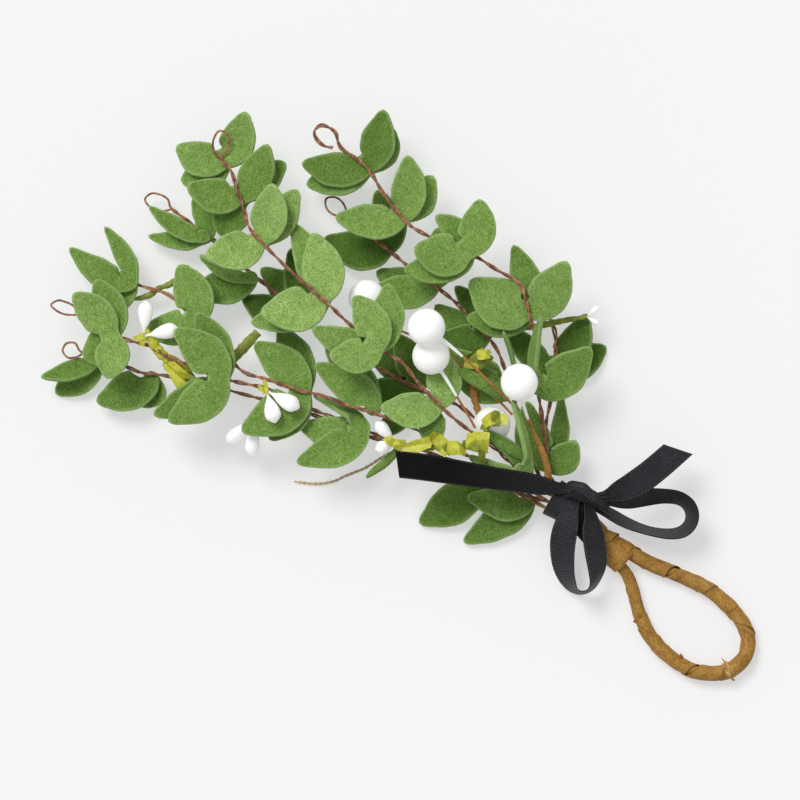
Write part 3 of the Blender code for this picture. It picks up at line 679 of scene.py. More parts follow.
FELT = felt_finish()
WIRE = wire_finish()
COPPER = copper_finish()
FOAM = foam_finish()
LIME_PAPER = paper_finish("lime_paper", (0.4, 0.41, 0.02), (0.5, 0.51, 0.035),
                          (0.62, 0.63, 0.08))
OLIVE_PAPER = paper_finish("olive_paper", (0.13, 0.165, 0.012), (0.2, 0.245, 0.02),
                           (0.3, 0.345, 0.04))
KRAFT = kraft_finish()
RAFFIA = paper_finish("raffia", (0.25, 0.13, 0.03), (0.46, 0.27, 0.08),
                      (0.62, 0.41, 0.15))
RIBBON = ribbon_finish()
STITCH = stitch_finish()
JUTE = twine_finish()


# ---------------------------------------------------------------- felt leaves

def felt_section(half, thick):
    """A felt cross-section from left to right and back: flat faces, soft cut edges."""
    edge = min(FELT_EDGE, half * 0.8, thick * 0.85)
    flat = half - edge
    arc = np.radians([22, 45, 68])
    top = [(x, thick) for x in np.linspace(-flat, flat, TOP_POINTS)]
    right = [(flat + edge * math.sin(a), thick - edge * (1 - math.cos(a))) for a in arc]
    low_right = [(flat + edge * math.cos(a), -(thick - edge * (1 - math.sin(a))))
                 for a in arc]
    low = [(x, -thick) for x in np.linspace(flat, -flat, LOW_POINTS)]
    low_left = [(-flat - edge * math.sin(a), -(thick - edge * (1 - math.cos(a))))
                for a in arc]
    left = [(-flat - edge * math.cos(a), thick - edge * (1 - math.sin(a))) for a in arc]
    return np.array(top + right + low_right + low + low_left + left)


def felt_sheet(rings, both_tips, seed):
    """The fine surface of a felt pair, from the solid's rings."""
    rng = np.random.RandomState(seed)
    rings = np.array(rings)
    centres = rings.mean(1)
    wide = (rings[:, 1] + rings[:, 2] - rings[:, 0] - rings[:, 3]) / 4
    tall = (rings[:, 0] + rings[:, 1] - rings[:, 2] - rings[:, 3]) / 4
    along = distances(centres)
    length = along[-1]
    count = int(length / FELT_STEP) + 1
    ease = np.linspace(0, 1, count)
    spots = length * (ease - 0.012 * np.sin(2 * math.pi * ease))
    path = smooth_through(centres, along, spots)
    widths = smooth_through(np.linalg.norm(wide, axis=1), along, spots)
    across = smooth_through(np.array([unit(w) for w in wide]), along, spots)
    normal = smooth_through(np.array([unit(t) for t in tall]), along, spots)
    waist = along[6] + (along[7] - along[6]) / 2
    from_waist = np.abs(spots - waist)
    spread = np.clip((from_waist - 2.0) / 10.0, 0, 1)
    spread = spread * spread * (3 - 2 * spread)
    widths = rounded_tip(widths, spots, along[1])
    from_end = spots
    if both_tips:
        widths = rounded_tip(widths[::-1], (length - spots)[::-1],
                             length - along[-2])[::-1]
        from_end = np.minimum(spots, length - spots)
    else:
        back = length - spots
        edge = np.sqrt(np.clip(2 * 3.4 * back - back ** 2, 0, None)) * 1.15
        widths = np.where(back < 3.4, np.minimum(widths, np.maximum(edge, 0.3)), widths)
    sides = np.where(spots < waist, 0, 1)
    cup = rng.uniform(-0.5, 1.0, 2)[sides] * CUP_DEPTH * spread
    crease = (rng.uniform(0.4, 1.1, 2) * (rng.rand(2) < 0.4))[sides] * spread
    bend = rng.uniform(-0.7, 0.7, 2)[sides] * spread
    chord = (smooth_through(centres, along, np.array([waist - 14, waist + 14]))
             if both_tips else centres[[6, 7]]).mean(0)
    to_chord = (chord - centres[6:8].mean(0)) @ unit(wide[6])
    web = np.clip(to_chord * 0.5, -WEB_REACH, WEB_REACH) \
        * np.exp(-(from_waist / WEB_LENGTH) ** 2)
    phase = rng.uniform(0, 6.28, 4)
    surface = []
    for k, (p, half, a, n) in enumerate(zip(path, widths, across, normal)):
        a = unit(a)
        n = unit(n - a * (n @ a))
        pinch = math.exp(-(from_waist[k] / 1.3) ** 2)
        thick = FELT_THICKNESS / 2 * (0.6 + 0.4 * min(1.0, from_end[k] / 1.5))
        outline = felt_section(half, thick * (1 - 0.42 * pinch))
        u = outline[:, 0] / max(widths.max(), 1e-6)
        wave = [0.3 * math.sin(spots[k] / 4.6 + phase[i]) * min(1.0, half / 4)
                + 0.16 * math.sin(spots[k] / 1.9 + phase[i + 2]) for i in (0, 1)]
        x = outline[:, 0] + np.where(outline[:, 0] > 0, wave[0] * u * u,
                                     -wave[1] * u * u) * spread[k]
        x += web[k] * np.clip(outline[:, 0] * np.sign(web[k]) / half, 0, 1)
        lift = cup[k] * (u * u - 0.3) + bend[k] * u + crease[k] * (np.abs(u) - 0.4)
        surface.append(p + np.outer(x, a) + np.outer(outline[:, 1] + lift, n))
    surface = np.array(surface)
    flat = surface.reshape(-1, 3)
    outward = flat - np.repeat(path, surface.shape[1], axis=0)
    facing = np.sign(np.einsum("ij,ij->i", outward,
                               np.repeat(normal, surface.shape[1], axis=0)))
    puff = 0.16 * ripple(flat, 6.5, seed + 7) + 0.07 * ripple(flat, 2.4, seed + 8)
    flat = flat + np.repeat(normal, surface.shape[1], axis=0) * (puff * facing)[:, None]
    # painted highlight mask: 1 on the cut edges and at the tips, where the felt's thickness
    # would catch the light
    cut = np.zeros(surface.shape[:2])
    cut[:, TOP_POINTS:LOW_START] = cut[:, LOW_END:] = 1.0
    cut[:, [0, TOP_POINTS - 1, LOW_START, LOW_END - 1]] = 0.7
    cut[from_end < 1.3] = 1.0
    return flat.reshape(surface.shape), cut.ravel()


def rounded_tip(widths, spots, shoulder):
    """Half widths with a rounded end: spots runs from the tip, past the shoulder."""
    at_shoulder = np.interp(shoulder, spots, widths)
    share = np.clip(spots / shoulder, 0.004, 1)
    return np.where(spots < shoulder, at_shoulder * share ** 0.5, widths)


def fuzz(shape, surface, count, seed, shade):
    """Short stray fibres standing on the felt, mostly along its cut edge."""
    rng = np.random.RandomState(seed)
    stations, sides = surface.shape[:2]
    middle = surface.mean(1)
    edge = list(range(TOP_POINTS - 1, LOW_START + 1)) + list(range(LOW_END - 1, sides))
    for _ in range(count):
        i = rng.randint(2, stations - 2)
        j = rng.choice(edge) if rng.rand() < 0.75 else rng.randint(0, TOP_POINTS)
        foot = surface[i, j]
        out = unit(foot - middle[i])
        side = unit(surface[i + 1, j] - surface[i - 1, j])
        heading = unit(out * rng.uniform(0.2, 0.9) + side * rng.uniform(-1, 1)
                       + UP * rng.uniform(-0.15, 0.35))
        length = rng.uniform(0.5, 1.5)
        wide = unit(np.cross(heading, out + [0.01, 0.02, 0.03])) * FIBRE_HALF
        high = unit(np.cross(heading, wide)) * FIBRE_HALF
        foot = foot - out * 0.15
        bent = foot + heading * length * 0.6 + out * 0.12
        tip = foot + heading * length + side * rng.uniform(-0.3, 0.3)
        root = [foot + wide, foot - wide * 0.5 + high, foot - wide * 0.5 - high]
        mid = [p - foot + bent for p in root]
        # the stray fibres get a strong painted highlight
        shape.add(root + mid + [tip],
                  [(2, 1, 0), (0, 1, 4, 3), (1, 2, 5, 4), (2, 0, 3, 5),
                   (3, 4, 6), (4, 5, 6), (5, 3, 6)], rim=0.9, shade=shade)


def make_whorl(node, seed):
    shape = Shape()
    rng = np.random.RandomState(seed)
    for k, (rings, both_tips) in enumerate(felt_pairs(node)):
        surface, cut = felt_sheet(rings, both_tips, seed + 31 * k)
        # painted shade: lower leaves get a darker shade value from their height; the random
        # part is tone
        height = surface[:, :, 2].mean() - cad_low.z / MM
        shade = 0.12 + 0.72 * min(1.0, height / 40.0) + rng.uniform(-0.24, 0.24)
        shape.add(*skin(surface), rim=cut, shade=shade)
        fuzz(shape, surface, 150 if both_tips else 85, seed + 31 * k + 5, shade)
    name = node.replace("leaf_whorl", "felt_whorl")
    return shape.piece(name, FELT, "felt", node, sharp=80)


# ---------------------------------------------------------------- wires

def loop_start(path):
    """Where a wire's end loop leaves its stem, or None where it has no loop."""
    along = distances(path)
    early = along < along[-1] - LOOP_LENGTH
    gaps = np.linalg.norm(path[early] - path[-1], axis=1)
    return int(gaps.argmin()) if gaps.min() < LOOP_GAP else None


def make_wire(node, seed):
    """Paper-covered wire, doubled and twisted, with a single turn at the looped end."""
    rng = np.random.RandomState(seed)
    centres = [ring.mean(0) for ring in tube_layers(node, 4)]
    if centres[0][0] < centres[-1][0]:
        centres = centres[::-1]
    path = refined(centres, 0.8)
    side, up = frames_along(path)
    along = distances(path)
    wander = np.cumsum(rng.normal(0, 0.06, len(path)))
    turn = 2 * math.pi * along / TWIST_PITCH + wander + 0.8 * ripple(path, 40.0, seed)
    gap = STRAND_OFFSET * (1 + 0.2 * ripple(path, 17.0, seed + 1))
    start = loop_start(path)
    if start is not None:
        gap *= np.clip((along[start] - along) / 3.0, 0, 1) * 0.9 + 0.1
    swing = (side * np.cos(turn)[:, None] + up * np.sin(turn)[:, None]) * gap[:, None]
    first, second = path + swing, path - swing
    if start is not None:
        second = second[:start]
        fade = np.clip((along - along[start]) / 2.0, 0, 1)[:, None]
        first = path + swing * (1 - fade)
        ease = np.linspace(0, 1, 5)[1:, None]
        first = np.vstack([first, first[-1] * (1 - ease) + second[-1] * ease])
    shape = Shape()
    for strand in (first, second):
        radii = STRAND_RADIUS * (1 + 0.1 * ripple(strand, 2.7, seed + 2))
        shape.add(*skin(round_tube(strand, radii, 9)))
    name = node.replace("sprig_wire", "twisted_wire")
    return shape.piece(name, WIRE, "paper_wire", node)


# ---------------------------------------------------------------- berries and buds

def berry_layers(node):
    """A berry solid's rings, from the pole of the ball to the pick's end."""
    places, triangles = corners_of(node)
    near = neighbours_of(len(places), triangles)
    for pole in range(len(places)):
        layers = layers_from([pole], near)
        if all(len(ring) == 8 for ring in layers[1:]):
            return [places[ring] for ring in layers]
    raise ValueError(f"{node} has no pole")


def make_berry(node, seed):
    """The foam ball with its white neck, and the wire of its pick."""
    layers = berry_layers(node)
    centre = (layers[3].mean(0) + layers[4].mean(0)) / 2
    radius = np.linalg.norm(layers[0][0] - centre)
    axis = unit(layers[4].mean(0) - layers[3].mean(0))
    pick = np.array([ring.mean(0) for ring in layers[7:]])
    thick = [np.linalg.norm(ring - ring.mean(0), axis=1).mean() for ring in layers[7:]]
    side, up = frames_along(np.array([centre, centre + axis]))
    angles = 2 * math.pi * np.arange(48) / 48
    rings = []
    for polar in np.linspace(0.03, math.pi - 0.2, 44):
        reach = radius * math.sin(polar)
        spot = centre - axis * radius * math.cos(polar)
        rings.append(spot + reach * circle(angles, side[0], up[0]))
    route = refined(np.vstack([centre + axis * radius * 1.02, pick[1:]]), 1.2)
    along = distances(route)
    for start, reach in ((0.99, 0.15), (1.03, 0.12), (1.10, 0.104)):
        spot = centre + axis * radius * start
        rings.append(spot + radius * reach * circle(angles, side[0], up[0]))
    rings = np.array(rings)
    flat = rings.reshape(-1, 3)
    out = (flat - centre) / radius
    flat = flat + out * (0.07 * ripple(flat, 9.0, seed))[:, None]
    shape = Shape()
    shape.add(*skin(flat.reshape(rings.shape)))
    white = along < min(PICK_WHITE_LENGTH, along[-1] * 0.62)
    neck = route[white]
    sizes = PICK_WHITE_RADIUS * (1.06 - 0.3 * np.linspace(0, 1, len(neck)) ** 2)
    shape.add(*skin(round_tube(neck, sizes, 12)))
    shape.piece(node.replace("berry", "foam_berry"), FOAM, "foam", node, sharp=50)
    wire = route[np.argmax(~white) - 2:]
    stem = thick[-1] > 1.5
    sizes = np.full(len(wire), PICK_WIRE_RADIUS)
    if stem:
        sizes = np.interp(distances(wire), np.linspace(0, distances(wire)[-1], len(thick)),
                          thick) * 0.98
    shape = Shape()
    sizes = sizes * (1 + (0.12 if stem else 0.05) * ripple(wire, 3.0, seed + 4))
    shape.add(*skin(round_tube(wire, sizes, 12)))
    if stem:
        shape.piece("wrapped_stem", KRAFT, "kraft_paper")
    else:
        shape.piece(node.replace("berry", "pick_wire"), COPPER, "paper_wire")


def make_buds(node, seed):
    """Two teardrop buds, point to point, and the torn paper round their joint."""
    layers = tube_layers(node, 8)
    centres = np.array([ring.mean(0) for ring in layers])
    radii = np.array([np.linalg.norm(r - c, axis=1).mean()
                      for r, c in zip(layers, centres)])
    radii = radii * BUD_SLIMNESS[node]
    middle = len(layers) // 2
    shape = Shape()
    for half in (slice(0, middle + 1), slice(None, middle - 1, -1)):
        spots, sizes = centres[half], radii[half]
        along = distances(spots)
        fine = np.linspace(0, along[-1], 40)
        line = smooth_through(spots, along, fine)
        size = np.clip(smooth_through(sizes, along, fine), 0.6, None)
        nose = np.sqrt(np.clip(1 - (1 - np.clip(fine / 4.0, 0, 1)) ** 2, 0.004, 1))
        shape.add(*skin(round_tube(line, size * nose, 28)))
    shape.piece(node.replace("bud_pair", "foam_buds"), FOAM, "foam", node, sharp=50)
    joint = centres[middle]
    ends = [unit(centres[0] - joint), unit(centres[-1] - joint)]
    make_sepals(node.replace("bud_pair", "sepals"), joint, ends, seed)


# ---------------------------------------------------------------- paper

def grid_normals(grid):
    normal = np.cross(np.gradient(grid, axis=0), np.gradient(grid, axis=1))
    return normal / np.maximum(np.linalg.norm(normal, axis=2, keepdims=True), 1e-9)


def add_sheet(shape, grid, thickness, rim=0.0, shade=0.5):
    """A grid of points as a thin closed sheet."""
    rows, cols = grid.shape[:2]
    normal = grid_normals(grid)
    top, low = grid + normal * thickness / 2, grid - normal * thickness / 2
    rings = np.concatenate([top, low[:, ::-1]], axis=1)
    sides = cols * 2
    verts = list(rings.reshape(-1, 3))
    faces = []
    for i in range(rows - 1):
        for j in range(sides):
            n = (j + 1) % sides
            faces.append((i * sides + j, (i + 1) * sides + j,
                          (i + 1) * sides + n, i * sides + n))
    for row, turn in ((0, 1), (rows - 1, -1)):
        for j in range(cols - 1):
            a, b = row * sides + j, row * sides + j + 1
            c, d = row * sides + sides - 2 - j, row * sides + sides - 1 - j
            faces.append((a, b, c, d) if turn > 0 else (d, c, b, a))
    shape.add(verts, faces, rim=rim, shade=shade)


def paper_scrap(shape, base, heading, normal, length, width, seed, slope=0.45,
                taper=0.2, shade=0.5):
    """A torn scrap of folded paper: flat facets between creases, ragged at its end."""
    rng = np.random.RandomState(seed)
    heading = unit(heading)
    side = unit(np.cross(normal, heading))
    normal = np.cross(heading, side)
    rows, cols = 17, 13
    s, u = np.meshgrid(np.linspace(0, 1, rows), np.linspace(-1, 1, cols), indexing="ij")
    half = width / 2 * (0.75 + 0.25 * np.sin(np.clip(s * 2.2, 0, 1) * math.pi / 2))
    half *= 1 - taper * s
    tear = np.interp(u[0], np.linspace(-1, 1, 6), rng.uniform(-0.12, 0.02, 6))
    edge = np.interp(s[:, 0], np.linspace(0, 1, 7), rng.uniform(-0.06, 0.04, 7))
    x = u * half * (1 + edge[:, None] * np.abs(u))
    y = length * s * (1 + tear[None, :] * s)
    z = np.zeros_like(x)
    for _ in range(3):
        angle = rng.uniform(0, math.pi)
        reach = (x * math.cos(angle) + (y - length * rng.uniform(0.2, 0.8))
                 * math.sin(angle))
        z += rng.uniform(-1, 1) * slope * np.abs(reach)
    z -= z[0].mean()
    z += 0.12 * width * s * s * rng.uniform(-1, 1)
    grid = base + x[:, :, None] * side + y[:, :, None] * heading + z[:, :, None] * normal
    add_sheet(shape, grid, 0.18, shade=shade)


def make_sepals(name, joint, ends, seed):
    """Torn paper round the buds' joint, with a blade over the root of each bud."""
    rng = np.random.RandomState(seed)
    shape = Shape()
    for k, end in enumerate(ends):
        for m in range(2):
            heading = unit(end + np.cross(end, UP) * rng.uniform(-0.8, 0.8) + UP * 0.15)
            base = joint - end * 1.6 + UP * (0.9 + 0.3 * m)
            paper_scrap(shape, base, heading, UP + 0.3 * rng.normal(size=3),
                        rng.uniform(2.6, 4.2), rng.uniform(1.8, 2.6), seed + 10 * k + m,
                        slope=0.2, taper=0.85)
    away = -unit(ends[0] + ends[1])
    for m in range(3):
        sideways = np.cross(away, UP) * rng.uniform(-0.8, 0.8)
        paper_scrap(shape, joint + UP * (0.2 + 0.4 * m), away + sideways,
                    UP + 0.3 * rng.normal(size=3), rng.uniform(4, 6.5),
                    rng.uniform(2.6, 3.8), seed + 40 + m, slope=0.25, taper=0.4)
    return shape.piece(name, LIME_PAPER, "crepe_paper", sharp=25)


def box_middle(node):
    low, high = box_of(node)
    return (low + high) / 2


def make_scraps(name, mat, node, scraps, seed, replaced=()):
    """Torn scraps of paper placed from the middle of a node's box: each is its offset,
    its heading in degrees, its length and width, and how much it narrows."""
    rng = np.random.RandomState(seed)
    middle = box_middle(node)
    shape = Shape()
    for k, (offset, degrees, length, width, taper) in enumerate(scraps):
        turn = math.radians(degrees)
        heading = np.array([math.cos(turn), math.sin(turn), rng.uniform(-0.15, 0.15)])
        paper_scrap(shape, middle + offset - heading * length / 2, heading,
                    UP + 0.3 * rng.normal(size=3), length, width, seed + k,
                    slope=0.75, taper=taper)
    return shape.piece(name, mat, "crepe_paper", *replaced, sharp=20)


def make_papers():
    make_scraps("torn_scraps_right", LIME_PAPER, "torn_paper_right",
                (((-23.3, -18.7, -2), -6, 11, 4.5, 0.2), ((-12.7, -14.2, 0), 48, 15, 7, 0.2),
                 ((-3.4, -7.6, 0.6), -8, 13, 8.5, 0.1), ((5.2, -5.6, 0), 18, 10, 8, 0.2),
                 ((12.6, 3.3, 1), 25, 12.5, 10, 0.0), ((13, 16, 0.5), 60, 10, 7, 0.1),
                 ((16.5, 18.5, 0.8), 10, 8, 6, 0.2)), 61, ["torn_paper_right"])
    make_scraps("olive_scraps_right", OLIVE_PAPER, "torn_paper_right",
                (((-8, -12, 0.8), 20, 9, 4.5, 0.4), ((14.5, 17.5, 1.8), 120, 8, 5, 0.3),
                 ((11.5, 13.5, 0.2), 95, 9, 5, 0.2), ((10.4, -0.6, 0.6), 15, 9, 5, 0.2),
                 ((17.5, -2, -4), -60, 9, 4, 0.2), ((1.2, -8.4, 1.2), -30, 6, 3.5, 0.4)), 71)
    make_scraps("torn_scraps_left", LIME_PAPER, "torn_paper_left",
                (((0.8, -3.6, 0), -36, 23, 9.5, 0.8), ((-0.8, 5.4, 1), 14, 16, 8, 0.8),
                 ((2.2, 2.9, 1.8), 0, 20, 7.5, 0.85)), 83, ["torn_paper_left"])
    make_scraps("olive_scraps_left", OLIVE_PAPER, "torn_paper_left",
                (((3.6, 0.0, 0.8), -14, 22, 8.5, 0.8), ((-4, 1.0, 2), -20, 11, 6.5, 0.5)), 91)
    make_scraps("olive_scraps_middle", OLIVE_PAPER, "berry_2",
                (((8, 17, -11), 70, 11, 9, 0.1), ((5, 14, -12), 150, 9, 6, 0.3)), 97)
    make_scraps("torn_scraps_middle", LIME_PAPER, "berry_2",
                (((8.5, 20, -9.5), 35, 7, 6, 0.3), ((6, 12, -13), 20, 8, 4, 0.4)), 103)


def make_stem(name, mat, slot, node, offsets, radii, seed, squash=0.8, crinkle=1.0):
    """A stem wound with paper, or a folded leaf: a tube through offsets from a node's
    middle, more or less crinkled."""
    path = refined(box_middle(node) + np.array(offsets, float), 0.8)
    along = distances(path)
    sizes = np.interp(along, np.linspace(0, along[-1], len(radii)), radii)
    sizes = sizes * (1 + crinkle * (0.09 * np.sin(along * 1.7 + seed)
                                    + 0.1 * ripple(path, 4.0, seed)))
    if crinkle < 0.5:
        sizes = sizes * np.sqrt(np.clip(1 - (2 * along / along[-1] - 1) ** 2, 0.01, 1))
    rings = np.array(round_tube(path, sizes, 16, squash=squash))
    flat = rings.reshape(-1, 3)
    out = flat - np.repeat(path, 16, axis=0)
    flat = flat + out * (0.1 * crinkle * ripple(flat, 3.0, seed + 1))[:, None]
    shape = Shape()
    shape.add(*skin(flat.reshape(rings.shape)))
    return shape.piece(name, mat, slot, sharp=35)


def make_end_buds():
    """The two small buds at the tip of the right-hand green stem."""
    foot = box_middle("leaf_whorl_f5") + (3.0, 29.0, -15.0)
    shape = Shape()
    for reach, size in (((2.4, 7.0, 1.0), 2.3), ((6.8, -0.4, 0.6), 2.1)):
        share = np.linspace(0, 1, 24)
        line = foot + np.outer(share, reach)
        radii = size * np.sqrt(np.clip(share ** 1.6 * (1.02 - share ** 4), 0.015, 1))
        shape.add(*skin(round_tube(line, radii, 20)))
    shape.piece("foam_buds_end", FOAM, "foam", sharp=50)


def make_stems():
    """The green and brown paper-wound stems that show between the leaves."""
    make_stem("green_stem_left", OLIVE_PAPER, "crepe_paper", "bud_pair_left",
              ((-16.5, 5.4, -19), (-11.5, 10.4, -19), (-8.5, 16.4, -19),
               (-4.5, 21.4, -19), (-0.5, 33.4, -19)), (1.0, 1.6, 1.5, 1.8, 1.5), 3)
    make_stem("lime_sleeve_left", LIME_PAPER, "crepe_paper", "bud_pair_left",
              ((-3.8, -5.1, -0.8), (1.0, -7.6, -2.4), (5.5, -10, -4.0),
               (10, -11.6, -5), (14.7, -12.9, -6)), (1.5, 2.2, 2.5, 2.8, 2.6), 5, 0.6)
    make_stem("olive_sleeve_middle", OLIVE_PAPER, "crepe_paper", "bud_pair_left",
              ((40.5, 0, -14), (41.5, 4.5, -13), (42.8, 10, -12.5), (43.8, 15, -12.5),
               (45.5, 22, -14)), (1.9, 2.5, 2.6, 2.6, 2.0), 7, 0.45, 0.6)
    make_stem("green_stem_right", OLIVE_PAPER, "crepe_paper", "leaf_whorl_f5",
              ((-38, 0, -16), (-27, 5.4, -15), (-20, 9.4, -15), (-13, 15.4, -15),
               (-4, 23.4, -15), (3, 29, -15)), (1.4, 1.5, 1.3, 1.6, 1.5, 0.9), 9)
    make_stem("brown_stem_middle", KRAFT, "kraft_paper", "berry_2",
              ((8.5, 8, -17), (12, 3, -17.5), (17, -3, -18), (24, -9, -19)),
              (1.7, 1.9, 1.8, 1.6), 11)
    for name, node, offsets, width, seed in (
            ("felt_leaf_on_edge", "bud_pair_right",
             ((10, 2, -2), (9, -4, -4), (7, -11, -7), (4.5, -17, -9), (3, -21.5, -10)),
             2.3, 13),
            ("felt_leaf_folded", "leaf_whorl_e4",
             ((-13, -10.6, 6), (-4, -9.8, 7.5), (6, -9.6, 7.5), (19, -10.6, 5)), 3.5, 17),
            ("felt_leaf_low", "berry_5",
             ((-7.5, -3.0, 7), (0, -5.4, 8.4), (8, -6.2, 6.5), (17, -5.8, 4),
              (26, -6.6, 1)), 3.0, 19)):
        make_stem(name, FELT, "felt", node, offsets, (width, width), seed, 0.7, 0.15)


# ---------------------------------------------------------------- handle

def wind_tape(shape, path, half_wide, half_tall, seed, pitch, lap):
    """Paper tape wound round a core, the edge of each turn over the next, with a painted
    shadow line beside each edge.
    """
    heads = directions(path)
    side = np.array([unit(np.cross(head, UP)) for head in heads])
    up = np.cross(side, heads)
    along = distances(path)
    core = np.array(round_tube(path, half_wide - 2 * lap, 24))
    shape.add(*skin(core))
    turns = np.arange(-TAPE_WIDTH, along[-1] / pitch, 1 / TAPE_STEPS)
    share = np.linspace(0, 1, TAPE_ROWS)
    wander = 0.24 * np.sin(turns * 2.3 + seed) + 0.12 * np.sin(turns * 5.1)
    spot = pitch * (turns + wander)[:, None] + pitch * TAPE_WIDTH * share[None, :]
    torn = 0.35 * ripple(np.outer(turns, [9.0, 4.0, 0.0]), 3.0, seed + 3)
    spot += torn[:, None] * share ** 3
    inside = np.clip(spot, 0, along[-1])
    inside = inside * 0.97 + np.clip(spot, -pitch, along[-1] + pitch) * 0.03
    turned = (2 * math.pi * turns)[:, None] + 0.05 * share[None, :]
    flat = np.clip(inside, 0, along[-1]).ravel()

    def at(values):
        return np.array([np.interp(flat, along, column) for column in values.T]).T

    cells = np.stack([turned.ravel() * 2.0, flat * 1.2, turned.ravel() * 0.7], axis=1)
    creases = 0.13 * ripple(cells, 4.5, seed) + 0.06 * ripple(cells * [0.4, 1, 0.4], 1.5,
                                                             seed + 1)
    lift = lap * (share ** 1.5)[None, :].repeat(len(turns), 0).ravel() - lap
    wide = np.interp(flat, along, half_wide) + lift + creases
    tall = np.interp(flat, along, half_tall) + lift + creases
    x, z = wide * np.cos(turned.ravel()), tall * np.sin(turned.ravel())
    grid = at(path) + x[:, None] * at(side) + z[:, None] * at(up)
    grid += at(heads) * ((inside - np.clip(spot, 0, along[-1])) * 0.2).reshape(-1, 1)
    # painted shadow where each turn's edge lies over the next, its strength varied at random
    # along the tape
    shadow = np.exp(-((share - 1 + 1 / TAPE_WIDTH) / 0.045) ** 2)
    shadow_depth = 0.55 + 0.45 * ripple(np.outer(turns, [5.0, 5.0, 5.0]), 4.0, seed + 2)
    rim = np.clip(np.outer(shadow_depth, shadow), 0, 1)
    rim = np.concatenate([rim, rim[:, ::-1]], axis=1)
    add_sheet(shape, grid.reshape(*spot.shape, 3), TAPE_THICKNESS, rim=rim.ravel())


def handle_core():
    """The handle solid's path and half sizes, fine and smooth, from the stems' end."""
    layers = tube_layers("wrapped_handle", 10)
    if np.ptp(layers[0][:, 1]) < np.ptp(layers[-1][:, 1]):
        layers = layers[::-1]
    centres = np.array([ring.mean(0) for ring in layers])
    wide, tall = [], []
    for ring, centre, head in zip(layers, centres, directions(centres)):
        side = unit(np.cross(head, UP))
        wide.append(np.abs((ring - centre) @ side).max())
        tall.append(np.abs((ring - centre) @ np.cross(side, head)).max())
    along = distances(centres)
    fine = np.linspace(0, along[-1], int(along[-1] / 0.7))
    path = smooth_through(centres, along, fine)
    wide, tall = (np.interp(fine, along, v) for v in (wide, tall))
    narrowed = np.clip((along[-1] - fine) / LEG_TAPER, 0, 1)
    narrowed = LEG_END + (1 - LEG_END) * narrowed
    return path, wide * narrowed, tall * narrowed


def make_handle(core):
    path, wide, tall = core
    shape = Shape()
    wind_tape(shape, path, wide, tall, 41, WRAP_PITCH, WRAP_LAP)
    for spot, swing, seed in ((0.72, 0.5, 7), (0.845, 2.4, 8), (0.85, 1.7, 9)):
        k = int(spot * (len(path) - 1))
        head = directions(path)[k]
        side = unit(np.cross(head, UP))
        out = side * math.cos(swing) + np.cross(side, head) * math.sin(swing)
        paper_scrap(shape, path[k] + out * (wide[k] - 0.2), head + 0.7 * out, out,
                    2.6, 2.4, seed, slope=0.3)
    shape.piece("taped_handle", KRAFT, "kraft_paper", "wrapped_handle", sharp=28)


def make_collar():
    """The tape that binds the loop's return leg to the bundle, wound on the slant."""
    low, high = box_of("handle_collar")
    start = np.array([low[0] - 4.5, (low[1] + high[1]) / 2 + 3.0, (low[2] + high[2]) / 2])
    end = np.array([high[0] + 0.5, (low[1] + high[1]) / 2 + 0.9, start[2]])
    half, tall = (high[1] - low[1]) / 2, (high[2] - low[2]) / 2
    stations = np.linspace(0, 1, 46)
    path = start + (end - start) * stations[:, None]
    path[:, 1] -= 1.3 * np.sin(stations * math.pi / 2)
    wide = np.interp(stations, (0, 0.35, 0.75, 0.96, 1), (0.58, 0.72, 0.80, 0.78, 0.70))
    high_share = np.interp(stations, (0, 0.35, 0.96, 1), (0.86, 1.0, 0.96, 0.86))
    shape = Shape()
    wind_tape(shape, path, wide * half, high_share * tall, 77, 8.5, 1.0)
    shape.piece("taped_collar", KRAFT, "kraft_paper", "handle_collar", sharp=28)


def make_tie(core):
    """Raffia strands round the loop's far end, with their two cut ends."""
    path, wide, _ = core
    middle = box_middle("loop_tie")
    k = int(np.linalg.norm(path - middle, axis=1).argmin())
    head = directions(path)[k]
    side = unit(np.cross(head, UP))
    up = np.cross(side, head)
    shape = Shape()
    angles = np.linspace(0, 2 * math.pi, 40)
    for shift, slant, radius in ((-1.2, 0.7, 0.6), (0.0, -0.5, 0.66), (1.2, 0.4, 0.55)):
        reach = wide[k] + 0.15
        turn = (middle + head * shift
                + reach * circle(angles, side, up)
                + np.outer(slant * np.cos(angles), head))
        sizes = radius * (1 + 0.15 * ripple(turn, 2.0, 3))
        shape.add(*skin(round_tube(turn, sizes, 8, squash=0.7)))
    for sense, length, radius in ((1, 3.6, 0.7), (-1, 2.2, 0.8)):
        foot = middle + side * sense * (wide[k] - 0.4) + up * 0.6
        tail = np.array([foot + side * sense * length * s + head * sense * 0.8 * s * s
                         + up * 0.7 * math.sin(s * 2) for s in np.linspace(0, 1, 9)])
        sizes = np.linspace(radius, radius * (0.15 if sense > 0 else 0.8), 9)
        shape.add(*skin(round_tube(tail, sizes, 8)))
    shape.piece("raffia_tie", RAFFIA, "kraft_paper", "loop_tie", sharp=40)


# ---------------------------------------------------------------- ribbon

def ribbon_rings(node):
    """A ribbon solid's rings, corners in one order from end to end."""
    layers = tube_layers(node, 4)
    first = layers[0]
    spans = sorted((first[k] - first[0] for k in (1, 2, 3)), key=np.linalg.norm)
    wide = unit(spans[1])
    tall = np.cross(unit(layers[1].mean(0) - first.mean(0)), wide)
    middle = first.mean(0)
    by_side = sorted(range(4), key=lambda i: (first[i] - middle) @ wide)
    left = sorted(by_side[:2], key=lambda i: -((first[i] - middle) @ tall))
    right = sorted(by_side[2:], key=lambda i: -((first[i] - middle) @ tall))
    rings = [first[[left[0], right[0], right[1], left[1]]]]
    for ring in layers[1:]:
        rings.append(matched(ring, rings[-1]))
    return np.array(rings)


